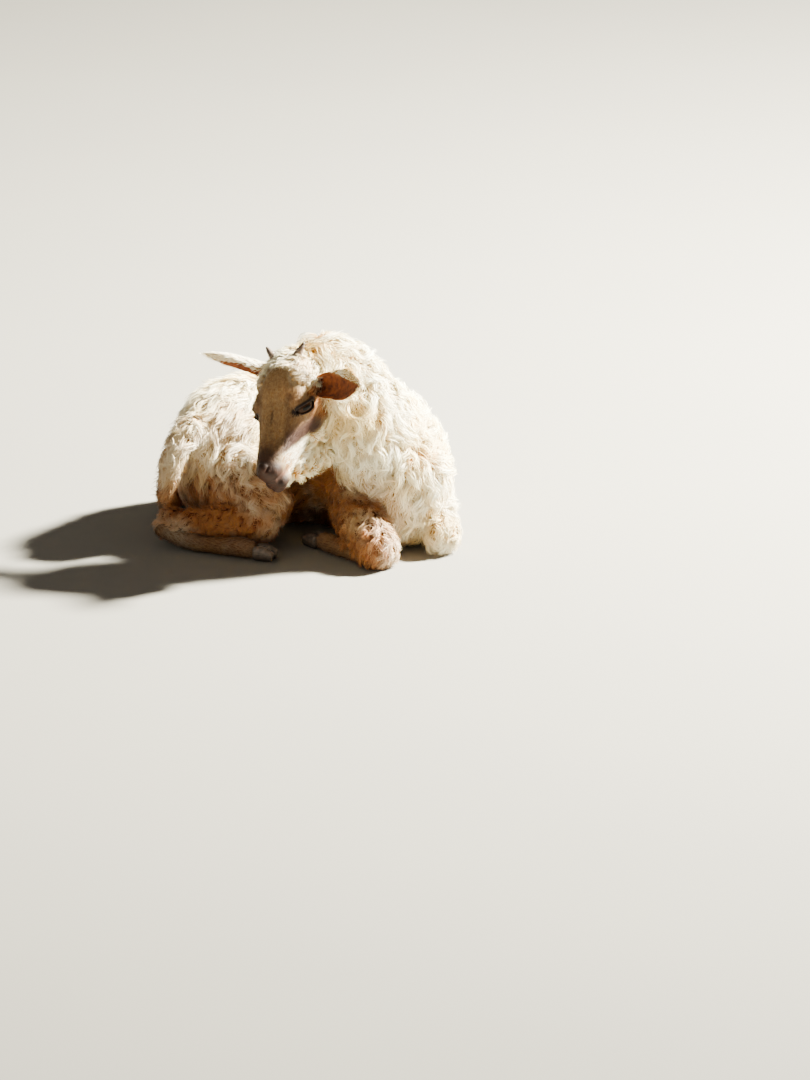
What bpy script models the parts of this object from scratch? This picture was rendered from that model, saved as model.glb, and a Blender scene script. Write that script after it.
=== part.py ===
"""A white cashmere kid goat, life size, lying curled on its chest with its head turned over its right flank.

Tables are in millimetres and are turned into metres by mm(). +Z is up, the kid's chest points to -Y and +X,
and the origin is on the floor under the middle of the belly.
"""

import math
import random
from collections import namedtuple

import bmesh
import bpy
from mathutils import Matrix, Vector
from mathutils.bvhtree import BVHTree

GAP = 0.3                 # clearance between touching nodes, mm
CUT_GAP = 0.5             # the same where one bent limb is cut by another, mm
COAT = 8.0                # how far the fleece stands off the skin, mm
FLOOR_SIZE = 1.0          # side of the block that trims everything at the floor, m

# Head pose: the head looks to the kid's right and down.
HEAD_AT = (-15.0, -113.0, 181.0)
HEAD_YAW = math.radians(20.0)
HEAD_PITCH = math.radians(31.0)
HEAD_ROLL = math.radians(16.0)

EYE_AT = (60.0, 21.0, 11.0)
EYE_RADIUS = 11.6
LID_THICKNESS = 1.7
EYE_FACING = (0.50, 0.84, 0.20)
EYE_SLIT = (12.6, 5.0, 9.0)          # half length, half height and depth of the opening between the lids
EYE_CORNERS = (0.82, -0.54, 0.20)    # direction from the back corner of the eye to the front one

MOUTH_AT = (116.0, 0.0, -12.0)          # middle of the curve of the mouth
MOUTH_SPREAD = 118.0                # degrees to each side that the line of the mouth goes round the muzzle
MOUTH_DROP = 5.0
MOUTH_RADIUS = 1.3
MOUTH_POINTS = 11
MOUTH_BACK = 7.0                     # how far the middle of the curve moves back for its corners, mm
NOSTRIL_AT = (138.5, 7.0, 4.5)
NOSTRIL_SIZE = (6.0, 3.4, 1.8)
NOSTRIL_LENGTHWISE = (0.78, -0.54, -0.35)
NOSTRIL_OUT = (0.5, 0.75, 0.3)

# Woolly bulges under the jaw and throat: middle and half sizes, for each side of the head.
JAW_WOOL = (
    ((96, 7, -38), (18, 9, 11)),
    ((70, 9, -50), (24, 13, 14)),
    ((42, 12, -58), (26, 17, 20)),
)

HORN_AT = (16.0, 12.0, 36.0)
HORN_HEIGHT = 15.0
HORN_RADIUS = 6.0
HORN_TIP = 1.2
HORN_SUNK = 8.0
HORN_LEAN = (-0.56, 0.60, 0.52)

EAR_ROOT_LEFT = (29.0, 27.0, 5.0)
EAR_ROOT_RIGHT = (11.0, 21.0, 21.0)
EAR_LENGTH = 78.0
EAR_AHEAD_LEFT = (0.33, 0.90, 0.28)     # the left ear is turned forward more than the right one
EAR_AHEAD_RIGHT = (-0.06, 0.94, 0.34)
EAR_HALF_WIDTH = 18.0
EAR_THICKNESS = 2.0
EAR_ARCH = 3.0
EAR_OPENING_LEFT = (0.51, -0.39, 0.77)     # the way the cup of the ear faces
EAR_OPENING_RIGHT = (0.90, -0.10, -0.42)
EAR_WIDEST = 0.45                    # place of the widest part, as a share of the ear's length
EAR_TIP = 0.8                        # half width of the tip, mm

Section = namedtuple("Section", "x y z wide top bottom")

TRUNK = (
    Section(-122, -74, 78, 28, 38, 58),
    Section(-98, -46, 88, 44, 55, 92),
    Section(-56, -8, 88, 53, 56, 94),
    Section(-4, 0, 86, 58, 62, 94),
    Section(42, -32, 86, 57, 62, 92),
    Section(72, -88, 80, 50, 52, 86),
    Section(88, -126, 70, 36, 38, 62),
)
TRUNK_CUTS = (1.9, 3.6)             # stations at which the trunk is parted into rump, barrel and chest

NECK = (
    Section(62, -104, 98, 40, 42, 50),
    Section(44, -116, 136, 37, 38, 46),
    Section(23, -116, 166, 32, 37, 44),
    Section(5, -112, 184, 28, 32, 38),
    Section(-8, -110, 192, 25, 28, 32),
)
NECK_CUT = 1.9

# Head stations lie along its own axis, from the nape to the muzzle, with z up from that axis.
HEAD = (
    Section(-2, 0, 0, 16, 17, 18),
    Section(8, 0, 4, 25, 29, 30),
    Section(20, 0, 8, 29, 32, 44),
    Section(36, 0, 10, 31, 31, 54),
    Section(52, 0, 9, 30, 28, 54),
    Section(66, 0, 6, 27, 23, 52),
    Section(82, 0, 2, 22, 20, 47),
    Section(98, 0, -1, 18, 18.5, 40),
    Section(114, 0, -3, 15.5, 16.5, 33),
    Section(128, 0, -4, 13, 14, 26),
    Section(137, 0, -5, 9.5, 10, 18),
)

THIGH_RIGHT = (
    Section(-106, -62, 82, 22, 26, 36),
    Section(-82, -92, 60, 28, 32, 38),
    Section(-56, -114, 40, 22, 25, 28),
)
SHANK_RIGHT = (
    Section(-56, -122, 32, 17, 20, 20),
    Section(-90, -122, 29, 15, 17, 18),
    Section(-128, -114, 26, 9, 11, 12),
    Section(-156, -106, 25, 9, 12, 14),
)
FOOT_RIGHT = (
    Section(-161, -107, 20, 9, 11, 11),
    Section(-134, -126, 11, 7.5, 8, 9),
    Section(-100, -142, 10, 7.5, 8, 9),
    Section(-84, -149, 12, 9.5, 9.5, 11),
    Section(-70, -154, 11, 8.5, 8, 10),
)
THIGH_LEFT = (
    Section(-122, -22, 88, 22, 28, 36),
    Section(-112, 14, 62, 28, 34, 38),
    Section(-88, 42, 42, 22, 26, 28),
)
SHANK_LEFT = (
    Section(-92, 46, 34, 17, 20, 20),
    Section(-118, 32, 30, 15, 17, 18),
    Section(-142, 6, 26, 9, 11, 12),
    Section(-155, -20, 25, 9, 12, 14),
)
FOOT_LEFT = (
    Section(-158, -20, 20, 9, 11, 11),
    Section(-156, 12, 11, 7.5, 8, 9),
    Section(-142, 46, 10, 7.5, 8, 9),
    Section(-134, 61, 12, 9.5, 9.5, 11),
    Section(-126, 74, 11, 8.5, 8, 10),
)
FOREARM_RIGHT = (
    Section(36, -104, 46, 24, 28, 30),
    Section(41, -138, 35, 22, 22, 25),
    Section(52, -170, 24, 17, 18, 20),
    Section(58, -187, 18, 15, 15, 18),
)
CANNON_RIGHT = (
    Section(52, -186, 12, 8.5, 10, 12),
    Section(32, -162, 10, 7, 8, 10),
    Section(12, -138, 10, 9, 9, 10),
    Section(2, -125, 10, 8, 8, 9),
)
FOREARM_LEFT = (
    Section(102, -60, 46, 22, 28, 30),
    Section(110, -94, 34, 18, 21, 24),
    Section(118, -124, 22, 14, 16, 19),
    Section(120, -138, 18, 13, 15, 18),
)
CANNON_LEFT = (
    Section(122, -134, 12, 8.5, 10, 12),
    Section(126, -104, 10, 7, 8, 10),
    Section(126, -74, 10, 9, 9, 10),
    Section(124, -58, 10, 8, 8, 9),
)
TAIL = (
    Section(-128, -86, 118, 13, 10, 10),
    Section(-143, -102, 100, 12, 8, 8),
    Section(-152, -110, 78, 9, 6, 6),
    Section(-157, -112, 54, 5, 4, 4),
)
CLAW = (
    Section(0, 0, 0, 5.2, 8, 8),
    Section(12, 0, -1, 5.2, 6.5, 8),
    Section(25, 0, -4, 3.6, 2.6, 4.5),
)
CLAW_APART = 5.8                    # sideways distance of each claw from the middle of the foot

UPRIGHT = (Vector((0, 0, 1)), Vector((0, 0, 1)))
NECK_UPS = (Vector((0.25, 0.65, 0.7)), Vector((0.35, 0.35, 0.87)))
TAIL_UPS = (Vector((-0.6, -0.5, 0.6)), Vector((-0.8, -0.6, 0.1)))

Limb = namedtuple("Limb", "stations rings sides ups coat")

# Clumps of fleece on a limb, in mm. flow is the way that they lie along it, every_long and every_wide are
# the distances between roots, and first and last are the stations between which they grow.
Clumps = namedtuple("Clumps", "flow long wide thick every_long every_wide first last")
CLUMPS = {
    "trunk": Clumps(-1, 64, 50, 15, 46, 50, 0.2, 7.8),
    "neck": Clumps(-1, 48, 37, 12, 37, 37, 0.6, 4.0),
    "thigh_right": Clumps(1, 50, 40, 12, 40, 40, 0.0, 2.0),
    "thigh_left": Clumps(1, 50, 40, 12, 40, 40, 0.0, 2.0),
    "forearm_right": Clumps(1, 44, 38, 8, 38, 40, 0.2, 1.6),
    "forearm_left": Clumps(1, 40, 31, 8, 33, 31, 0.2, 1.6),
    "tail": Clumps(1, 40, 30, 8, 32, 36, 0.3, 2.7),
}
CLUMP_KEEP = 0.8                      # shares of the triangles that are kept after the joining
HEAD_KEEP = 0.74
CLUMP_SIDES = 5
CLUMP_STEPS = (0.0, 0.36, 0.76)       # places of a clump's rings along it; its tip is at 1
CLUMP_WIDTHS = (0.62, 1.0, 0.72)
CLUMP_SUNK = 5.0                      # depth of the root's middle below the core
CLUMP_ROOM = 4.0                      # the core lies this far below the tips
CLUMP_FLOOR = 12.0                    # a clump's middle is at least this high
CLUMP_UNDER = -0.8                    # none grows where the skin's upward part is less than this
CLUMP_FEWEST = 5                      # clumps in a row round a limb
CLUMP_SEED = 12
END_PACE = 40.0                       # millimetres that a station counts for beyond a limb's ends
BLUNT = 0.6                           # length of a limb's rounded end, as a share of its thickness

# Later limbs are cut clear of earlier ones. coat is the depth of hair on each, in mm. The head has its own
# shape.
LIMBS = {
    "head": None,
    "trunk": Limb(TRUNK, 14, 18, UPRIGHT, COAT),
    "neck": Limb(NECK, 8, 16, NECK_UPS, COAT),
    "thigh_right": Limb(THIGH_RIGHT, 6, 14, UPRIGHT, COAT),
    "thigh_left": Limb(THIGH_LEFT, 6, 14, UPRIGHT, COAT),
    "shank_right": Limb(SHANK_RIGHT, 6, 10, UPRIGHT, 2.0),
    "shank_left": Limb(SHANK_LEFT, 6, 10, UPRIGHT, 2.0),
    "hind_foot_right": Limb(FOOT_RIGHT, 8, 10, UPRIGHT, 0.5),
    "hind_foot_left": Limb(FOOT_LEFT, 8, 10, UPRIGHT, 0.5),
    "forearm_right": Limb(FOREARM_RIGHT, 6, 10, UPRIGHT, 5.0),
    "forearm_left": Limb(FOREARM_LEFT, 6, 10, UPRIGHT, 5.0),
    "fore_foot_right": Limb(CANNON_RIGHT, 6, 10, UPRIGHT, 0.5),
    "fore_foot_left": Limb(CANNON_LEFT, 6, 10, UPRIGHT, 0.5),
    "tail": Limb(TAIL, 6, 10, TAIL_UPS, 4.0),
}
FEET = ("hind_foot_right", "hind_foot_left", "fore_foot_right", "fore_foot_left")

FLEECE = ("curly_fleece", (0.82, 0.76, 0.64), 0.9)
FACE = ("short_face_hair", (0.84, 0.78, 0.68), 0.8)
HORN = ("horn_bud", (0.20, 0.16, 0.13), 0.5)
HOOF = ("hoof_horn", (0.16, 0.13, 0.10), 0.5)
EYE = ("wet_eye", (0.10, 0.05, 0.02), 0.15)


def mm(values):
    """A point or a size in metres, from millimetres."""
    return Vector(values) * 0.001


def clear_scene():
    """Removes every object of the scene that the script starts in, and adds the goat's own collection."""
    for old in list(bpy.data.objects):
        bpy.data.objects.remove(old, do_unlink=True)
    bpy.context.scene.collection.children.link(bpy.data.collections.new("cashmere_kid_goat"))


def material(name, colour, roughness):
    """A plain principled material."""
    made = bpy.data.materials.get(name)
    if made is None:
        made = bpy.data.materials.new(name)
        made.use_nodes = True
        shader = made.node_tree.nodes["Principled BSDF"]
        shader.inputs["Base Color"].default_value = (*colour, 1.0)
        shader.inputs["Roughness"].default_value = roughness
        shader.inputs["Metallic"].default_value = 0.0
    return made


def link(name, mesh):
    """Puts a mesh into the goat's collection as an object of that name."""
    made = bpy.data.objects.new(name, mesh)
    bpy.data.collections["cashmere_kid_goat"].objects.link(made)
    return made


def from_bmesh(name, shape):
    """Turns a bmesh into an object, with its faces pointing out."""
    shape.normal_update()
    bmesh.ops.recalc_face_normals(shape, faces=shape.faces)
    if shape.calc_volume(signed=True) < 0:
        bmesh.ops.reverse_faces(shape, faces=shape.faces)
    bmesh.ops.triangulate(shape, faces=shape.faces)
    mesh = bpy.data.meshes.new(name)
    shape.to_mesh(mesh)
    shape.free()
    return link(name, mesh)


def between(stations, t):
    """The section at station t, a number that may fall between two of the listed ones, on a smooth curve."""
    i = min(int(t), len(stations) - 2)
    u = t - i
    a = stations[max(i - 1, 0)]
    b = stations[i]
    c = stations[i + 1]
    d = stations[min(i + 2, len(stations) - 1)]
    return Section(*(
        0.5 * (2 * q + (r - p) * u + (2 * p - 5 * q + 4 * r - s) * u * u + (3 * q - p - 3 * r + s) * u ** 3)
        for p, q, r, s in zip(a, b, c, d)
    ))


def centre(section):
    """The middle of a section, in metres."""
    return mm((section.x, section.y, section.z))


def heading(stations, t):
    """The unit direction of the curve at station t."""
    step = 0.02
    last = len(stations) - 1
    behind = centre(between(stations, max(t - step, 0)))
    return (centre(between(stations, min(t + step, last))) - behind).normalized()


def loft(name, stations, rings, sides, ups=None, taper=0.0, blunt=BLUNT, grow=0.0, cap=(65, 30)):
    """A closed body through the stations, with rounded ends. It is grow millimetres thicker on every side.

    ups gives the direction of each section's top at the two ends. taper narrows the lower half, blunt is the
    length of a rounded end as a share of the section's height, and cap holds the angles of the end's rings.
    """
    ups = ups or (Vector((0, 0, 1)), Vector((0, 0, 1)))
    last = len(stations) - 1
    shape = bmesh.new()
    loops = []

    def add_ring(t, shrink, shift):
        section = between(stations, t)
        ahead = heading(stations, t)
        up = ups[0].lerp(ups[1], t / last)
        left = up.cross(ahead).normalized()
        top = ahead.cross(left)
        middle = centre(section) + ahead * shift
        points = []
        for k in range(sides):
            angle = 2 * math.pi * k / sides
            rise = math.sin(angle)
            height = (section.top if rise > 0 else section.bottom) + grow
            width = (section.wide + grow) * (1 - taper * max(0.0, -rise) ** 1.5)
            offset = left * (math.cos(angle) * width) + top * (rise * height)
            points.append(shape.verts.new(middle + offset * shrink * 0.001))
        loops.append(points)

    def end_length(t):
        section = between(stations, t)
        return (blunt * min(section.wide, section.top) + grow) * 0.001

    for degrees in cap:
        add_ring(0, math.cos(math.radians(degrees)), -end_length(0) * math.sin(math.radians(degrees)))
    for r in range(rings):
        add_ring(last * r / (rings - 1), 1.0, 0.0)
    for degrees in reversed(cap):
        add_ring(last, math.cos(math.radians(degrees)), end_length(last) * math.sin(math.radians(degrees)))
    for first, second in zip(loops, loops[1:]):
        for k in range(sides):
            n = (k + 1) % sides
            shape.faces.new((first[k], first[n], second[n], second[k]))
    for loop, t, way in ((loops[0], 0, -1), (loops[-1], last, 1)):
        pole = shape.verts.new(centre(between(stations, t)) + heading(stations, t) * way * end_length(t))
        for k in range(sides):
            shape.faces.new((loop[k], loop[(k + 1) % sides], pole))
    return from_bmesh(name, shape)


def on_limb(limb, t, angle, height):
    """The point over a limb's skin at a station and an angle, 0 for left, and the outward direction there.

    Past either end the point goes round the limb's rounded end.
    """
    last = len(limb.stations) - 1
    inside = min(max(t, 0.0), last)
    section = between(limb.stations, inside)
    ahead = heading(limb.stations, inside)
    up = limb.ups[0].lerp(limb.ups[1], inside / last)
    left = up.cross(ahead).normalized()
    top = ahead.cross(left)
    rise = math.sin(angle)
    wide = section.wide + height
    tall = (section.top if rise > 0 else section.bottom) + height
    end = BLUNT * min(section.wide, section.top) + height
    bend = (t - inside) * END_PACE * 2 / (end + 0.5 * (wide + tall))
    bend = min(max(bend, -1.5), 1.5)
    offset = left * (math.cos(angle) * wide) + top * (rise * tall)
    outward = (left * (math.cos(angle) / wide) + top * (rise / tall)).normalized()
    point = centre(section) + (offset * math.cos(bend) + ahead * (end * math.sin(bend))) * 0.001
    return point, (outward * math.cos(bend) + ahead * math.sin(bend)).normalized()


def walk(limb, t, distance):
    """The station reached from station t by going some millimetres along the limb, round its ends too."""
    last = len(limb.stations) - 1
    step = 0.04 if distance > 0 else -0.04
    left = abs(distance)
    while left > 0:
        if 0 <= t + step <= last:
            ahead = centre(between(limb.stations, t + step)) - centre(between(limb.stations, t))
            gone = ahead.length * 1000
        else:
            gone = abs(step) * END_PACE
        t += step * min(1.0, left / gone)
        left -= gone
    return t


def clump(limb, clumps, t, angle, grow, chance):
    """One rounded, tapered, bent clump of fleece. Its root is sunk in the limb, its tip at the coat's top."""
    length = clumps.long * chance.uniform(0.88, 1.12)
    sway = chance.uniform(-0.4, 0.4)
    bend = chance.uniform(-0.6, 0.6)
    section = between(limb.stations, t)
    girth = 0.5 * (section.wide + section.top)
    spine = []
    for step in (*CLUMP_STEPS, 1.0):
        reached = walk(limb, t, clumps.flow * step * length)
        aside = (sway * step + bend * step * step) * length * 0.5 / girth
        height = limb.coat - CLUMP_SUNK * (1 - step) ** 2 - clumps.thick * 0.5 * (1 - step)
        spine.append(on_limb(limb, reached, angle + aside, height))
    shape = bmesh.new()
    loops = []
    for i, share in enumerate(CLUMP_WIDTHS):
        point, outward = spine[i]
        ahead = (spine[i + 1][0] - spine[max(i - 1, 0)][0]).normalized()
        across = ahead.cross(outward).normalized()
        outward = across.cross(ahead)
        wide = (clumps.wide * share / 2 + grow) * 0.001
        thick = (clumps.thick * share / 2 + grow) * 0.001
        if i == 0:
            point = point - ahead * grow * 0.001
        loop = []
        for k in range(CLUMP_SIDES):
            turn = 2 * math.pi * k / CLUMP_SIDES + math.pi / 2
            offset = across * (math.cos(turn) * wide) + outward * (math.sin(turn) * thick)
            loop.append(shape.verts.new(point + offset))
        loops.append(loop)
    tip = spine[-1][0]
    tip = shape.verts.new(tip + (tip - spine[-2][0]).normalized() * grow * 0.002)
    shape.faces.new(loops[0])
    for first, second in zip(loops, loops[1:]):
        for k in range(CLUMP_SIDES):
            n = (k + 1) % CLUMP_SIDES
            shape.faces.new((first[k], first[n], second[n], second[k]))
    for k in range(CLUMP_SIDES):
        shape.faces.new((loops[-1][k], loops[-1][(k + 1) % CLUMP_SIDES], tip))
    return from_bmesh("clump", shape)


def clump_places(name):
    """Where the clumps of a limb grow: staggered rows round it, none where another limb or the floor is."""
    limb = LIMBS[name]
    clumps = CLUMPS[name]
    covered = covered_by([other for other in LIMBS if other != name])
    chance = random.Random(CLUMP_SEED)
    places = []
    t = clumps.first
    row = 0
    while t <= clumps.last:
        section = between(limb.stations, min(t, len(limb.stations) - 1))
        girth = math.pi * (2 * section.wide + section.top + section.bottom + 4 * limb.coat) / 2
        girth *= math.cos(min(max(t - len(limb.stations) + 1, 0.0), 1.0))
        count = max(CLUMP_FEWEST, round(girth / clumps.every_wide))
        for k in range(count):
            angle = 2 * math.pi * (k + 0.5 * (row % 2) + chance.uniform(-0.15, 0.15)) / count
            at = t + chance.uniform(-0.06, 0.06)
            seed = chance.random()
            middle = walk(limb, at, clumps.flow * clumps.long * 0.4)
            point, outward = on_limb(limb, middle, angle, limb.coat)
            if point.z > CLUMP_FLOOR * 0.001 and outward.z > CLUMP_UNDER and not covered(point):
                places.append((at, angle, seed))
        t = walk(limb, t, clumps.every_long)
        row += 1
    return places


def clumps_on(name, places, grow):
    """The clumps of a limb at their places, each grown by that many millimetres."""
    limb = LIMBS[name]
    clumps = CLUMPS[name]
    return [clump(limb, clumps, t, angle, grow, random.Random(seed)) for t, angle, seed in places]


def covered_by(names):
    """A test for points that lie inside any of the named limbs."""
    trees = []
    for name in names:
        body = core(name, 0.0)
        trees.append(surface_finder(body))
        bpy.data.objects.remove(body, do_unlink=True)

    def covered(point):
        for tree in trees:
            near, normal = tree.find_nearest(point)[:2]
            if (point - near).dot(normal) < 0:
                return True
        return False

    return covered


def ball(name, at, radii, segments=12, rings=7, turn=None, grow=0.0):
    """An ellipsoid at a point, with its three radii, in millimetres, along the axes of turn."""
    shape = bmesh.new()
    bmesh.ops.create_uvsphere(shape, u_segments=segments, v_segments=rings, radius=1.0)
    scale = Matrix.Diagonal((*((mm(radii)) + Vector((grow, grow, grow)) * 0.001), 1.0))
    shape.transform(Matrix.Translation(mm(at)) @ (turn or Matrix.Identity(4)) @ scale)
    return from_bmesh(name, shape)


def axes(x, y):
    """A rotation whose x axis is x, and whose y axis is near y."""
    x = Vector(x).normalized()
    z = x.cross(Vector(y)).normalized()
    y = z.cross(x)
    return Matrix((x, y, z)).transposed().to_4x4()


def head_matrix():
    """Places the head's own axes, x along it, y to its left and z to its crown, in the model."""
    ahead = Vector((-math.sin(HEAD_YAW) * math.cos(HEAD_PITCH), -math.cos(HEAD_YAW) * math.cos(HEAD_PITCH),
                    -math.sin(HEAD_PITCH)))
    level = Vector((math.cos(HEAD_YAW), -math.sin(HEAD_YAW), 0))
    left = level * math.cos(HEAD_ROLL) + ahead.cross(level) * math.sin(HEAD_ROLL)
    crown = ahead.cross(left)
    return Matrix.Translation(mm(HEAD_AT)) @ Matrix((ahead, left, crown)).transposed().to_4x4()


def mirrored(point, side):
    """A point or direction of the head's left side, or of its right for side -1."""
    return Vector((point[0], point[1] * side, point[2]))


def boolean(target, others, operation, solver="MANIFOLD"):
    """Joins the others to the target, or cuts them from it, and removes them. Every piece is closed."""
    pool = bpy.data.collections.new("cutters")
    bpy.context.scene.collection.children.link(pool)
    for other in others:
        for home in list(other.users_collection):
            home.objects.unlink(other)
        pool.objects.link(other)
    change = target.modifiers.new("boolean", "BOOLEAN")
    change.operation = operation
    change.operand_type = "COLLECTION"
    change.collection = pool
    change.solver = solver
    apply_modifiers(target)
    for other in others:
        bpy.data.objects.remove(other, do_unlink=True)
    bpy.data.collections.remove(pool)
    return target


def apply_modifiers(target):
    """Makes what the modifiers give the object's own mesh."""
    graph = bpy.context.evaluated_depsgraph_get()
    mesh = bpy.data.meshes.new_from_object(target.evaluated_get(graph))
    old = target.data
    target.modifiers.clear()
    target.data = mesh
    bpy.data.meshes.remove(old)


def thin_out(target, keep):
    """Takes the smallest edges out of a joined shape, down to that share of its triangles."""
    change = target.modifiers.new("thin_out", "DECIMATE")
    change.ratio = keep
    apply_modifiers(target)


def keep_largest(target):
    """Drops every closed surface of the object but the largest."""
    shape = bmesh.new()
    shape.from_mesh(target.data)
    left = set(shape.faces)
    islands = []
    while left:
        edge = [left.pop()]
        island = set(edge)
        while edge:
            face = edge.pop()
            for corner in face.edges:
                for other in corner.link_faces:
                    if other in left:
                        left.discard(other)
                        island.add(other)
                        edge.append(other)
        islands.append(island)
    islands.sort(key=lambda faces: sum(face.calc_area() for face in faces))
    for island in islands[:-1]:
        bmesh.ops.delete(shape, geom=list(island), context="FACES")
    bmesh.ops.triangulate(shape, faces=shape.faces)
    shape.to_mesh(target.data)
    shape.free()


def floor_block():
    """The block below the floor that gives every resting part its flat."""
    shape = bmesh.new()
    bmesh.ops.create_cube(shape, size=FLOOR_SIZE)
    bmesh.ops.translate(shape, verts=shape.verts, vec=(0, 0, -FLOOR_SIZE / 2))
    return from_bmesh("floor_block", shape)


def half_space(name, at, normal, shift):
    """A block on the side of a plane that its normal points to, moved along the normal by shift mm."""
    shape = bmesh.new()
    bmesh.ops.create_cube(shape, size=FLOOR_SIZE)
    turn = axes(normal, (0.1, 0.2, 1.0))
    shape.transform(Matrix.Translation(at + normal * (FLOOR_SIZE / 2 + shift * 0.001)) @ turn)
    return from_bmesh(name, shape)


def head_core(grow=0.0):
    """The head without ears, horns and eyes: skull, brows, cheeks, muzzle and chin, in the model's place."""
    pieces = [loft("head", HEAD, 17, 18, taper=0.38, blunt=0.55, grow=grow)]
    for side in (-1, 1):
        for at, radii in (
            ((54, 18, 21), (17, 10, 8)),
            ((46, 16, -18), (26, 12, 23)),
            ((126, 6, -5), (14, 8, 9)),
            ((125, 5, -22), (12, 8, 7)),
            (EYE_AT, (EYE_RADIUS + LID_THICKNESS,) * 3),
        ):
            pieces.append(ball("bulge", mirrored(at, side), radii, grow=grow))
        for at, radii in JAW_WOOL:
            pieces.append(ball("wool", mirrored(at, side), radii, segments=9, rings=6, grow=grow))
    pieces.append(ball("nose", (135, 0, 2), (7, 6.5, 7.5), grow=grow))
    pieces.append(ball("chin", (126, 0, -27), (12, 8, 7), grow=grow))
    made = boolean(pieces[0], pieces[1:], "UNION")
    made.data.transform(head_matrix())
    return made


def eye_ball(name, side, grow=0.0):
    """One eyeball, in its place in the head."""
    made = ball(name, mirrored(EYE_AT, side), (EYE_RADIUS + grow,) * 3, segments=12, rings=8)
    made.data.transform(head_matrix())
    return made


def lid_opening(side):
    """The almond between the lids, as a cutter."""
    facing = mirrored(EYE_FACING, side).normalized()
    turn = axes(mirrored(EYE_CORNERS, side), facing)
    at = mirrored(EYE_AT, side) + facing * EYE_RADIUS
    made = ball("opening", at, (EYE_SLIT[0], EYE_SLIT[2], EYE_SLIT[1]), turn=turn)
    made.data.transform(head_matrix())
    return made


def surface_finder(target):
    """A search tree over an object's faces."""
    shape = bmesh.new()
    shape.from_mesh(target.data)
    tree = BVHTree.FromBMesh(shape)
    shape.free()
    return tree


def mouth_line(head):
    """The groove between the lips, as a cutter: a thin tube in the muzzle's surface."""
    to_model = head_matrix()
    tree = surface_finder(head)
    stations = []
    for k in range(MOUTH_POINTS):
        turn = math.radians(MOUTH_SPREAD) * (2 * k / (MOUTH_POINTS - 1) - 1)
        back = 1 - math.cos(turn)
        inside = to_model @ mm((MOUTH_AT[0] - MOUTH_BACK * back, 0, MOUTH_AT[2] - MOUTH_DROP * back))
        outward = to_model.to_3x3() @ Vector((math.cos(turn), math.sin(turn), 0))
        hit = tree.ray_cast(inside + outward * 0.05, -outward)[0]
        thick = MOUTH_RADIUS * (1 - 0.5 * abs(turn) / math.radians(MOUTH_SPREAD))
        stations.append(Section(*(hit * 1000), thick, thick, thick))
    crown = to_model.to_3x3() @ Vector((0, 0, 1))
    return loft("mouth", stations, 2 * MOUTH_POINTS - 1, 6, ups=(crown, crown), cap=(45,))


def head_features(head):
    """Cutters for the nostrils, the line of the mouth, the eye sockets and the openings between the lids."""
    cutters = [mouth_line(head)]
    for side in (-1, 1):
        turn = axes(mirrored(NOSTRIL_LENGTHWISE, side), mirrored(NOSTRIL_OUT, side))
        nostril = ball("nostril", mirrored(NOSTRIL_AT, side), NOSTRIL_SIZE, 10, 6, turn)
        nostril.data.transform(head_matrix())
        cutters.append(nostril)
        cutters.append(eye_ball("socket", side, GAP))
        cutters.append(lid_opening(side))
    return cutters


def ear(name, side, grow):
    """A leaf-shaped ear, rolled at its root and opening out to a cup, with the cup facing forward."""
    along = mirrored(EAR_AHEAD_LEFT if side > 0 else EAR_AHEAD_RIGHT, side).normalized()
    opening = mirrored(EAR_OPENING_LEFT if side > 0 else EAR_OPENING_RIGHT, side)
    root = mirrored(EAR_ROOT_LEFT if side > 0 else EAR_ROOT_RIGHT, side)
    across = along.cross(opening).normalized() * side
    opening = across.cross(along).normalized() * side
    rows, columns = 8, 6
    shape = bmesh.new()
    grid = []
    for i in range(rows + 1):
        u = i / rows
        if u < EAR_WIDEST:
            share = 0.55 + 0.45 * math.sin(math.pi * (u * 1.35 + 0.10))
        else:
            share = math.cos(math.pi / 2 * ((u - EAR_WIDEST) / (1 - EAR_WIDEST)) ** 1.6)
        half_width = max(EAR_HALF_WIDTH * share, EAR_TIP) + grow
        roll = math.radians(118 - 78 * min(1.0, u * 1.6))
        middle = root + along * ((EAR_LENGTH + 2 * grow) * u - grow)
        middle -= opening * (EAR_ARCH * math.sin(math.pi * u))
        row = []
        for j in range(columns + 1):
            v = -1 + 2 * j / columns
            radius = half_width / roll
            point = middle + across * (radius * math.sin(v * roll))
            point += opening * (radius * (1 - math.cos(v * roll)))
            row.append(shape.verts.new(point * 0.001))
        grid.append(row)
    for i in range(rows):
        for j in range(columns):
            shape.faces.new((grid[i][j], grid[i][j + 1], grid[i + 1][j + 1], grid[i + 1][j]))
    made = from_bmesh(name, shape)
    wall = made.modifiers.new("wall", "SOLIDIFY")
    wall.thickness = (EAR_THICKNESS + 2 * grow) * 0.001
    wall.offset = 0.0
    apply_modifiers(made)
    made.data.transform(head_matrix())
    return made


def horn_bud(name, side):
    """A short blunt cone on the crown."""
    shape = bmesh.new()
    length = HORN_HEIGHT + HORN_SUNK
    bmesh.ops.create_cone(shape, cap_ends=True, segments=12, radius1=HORN_RADIUS * 0.001,
                          radius2=HORN_TIP * 0.001, depth=length * 0.001)
    lean = axes(mirrored(HORN_LEAN, side), (0, 1, 0)) @ Matrix.Rotation(math.radians(90), 4, "Y")
    middle = mirrored(HORN_AT, side) + Vector((0, 0, length / 2 - HORN_SUNK))
    shape.transform(head_matrix() @ Matrix.Translation(mm(middle)) @ lean)
    return from_bmesh(name, shape)


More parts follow.
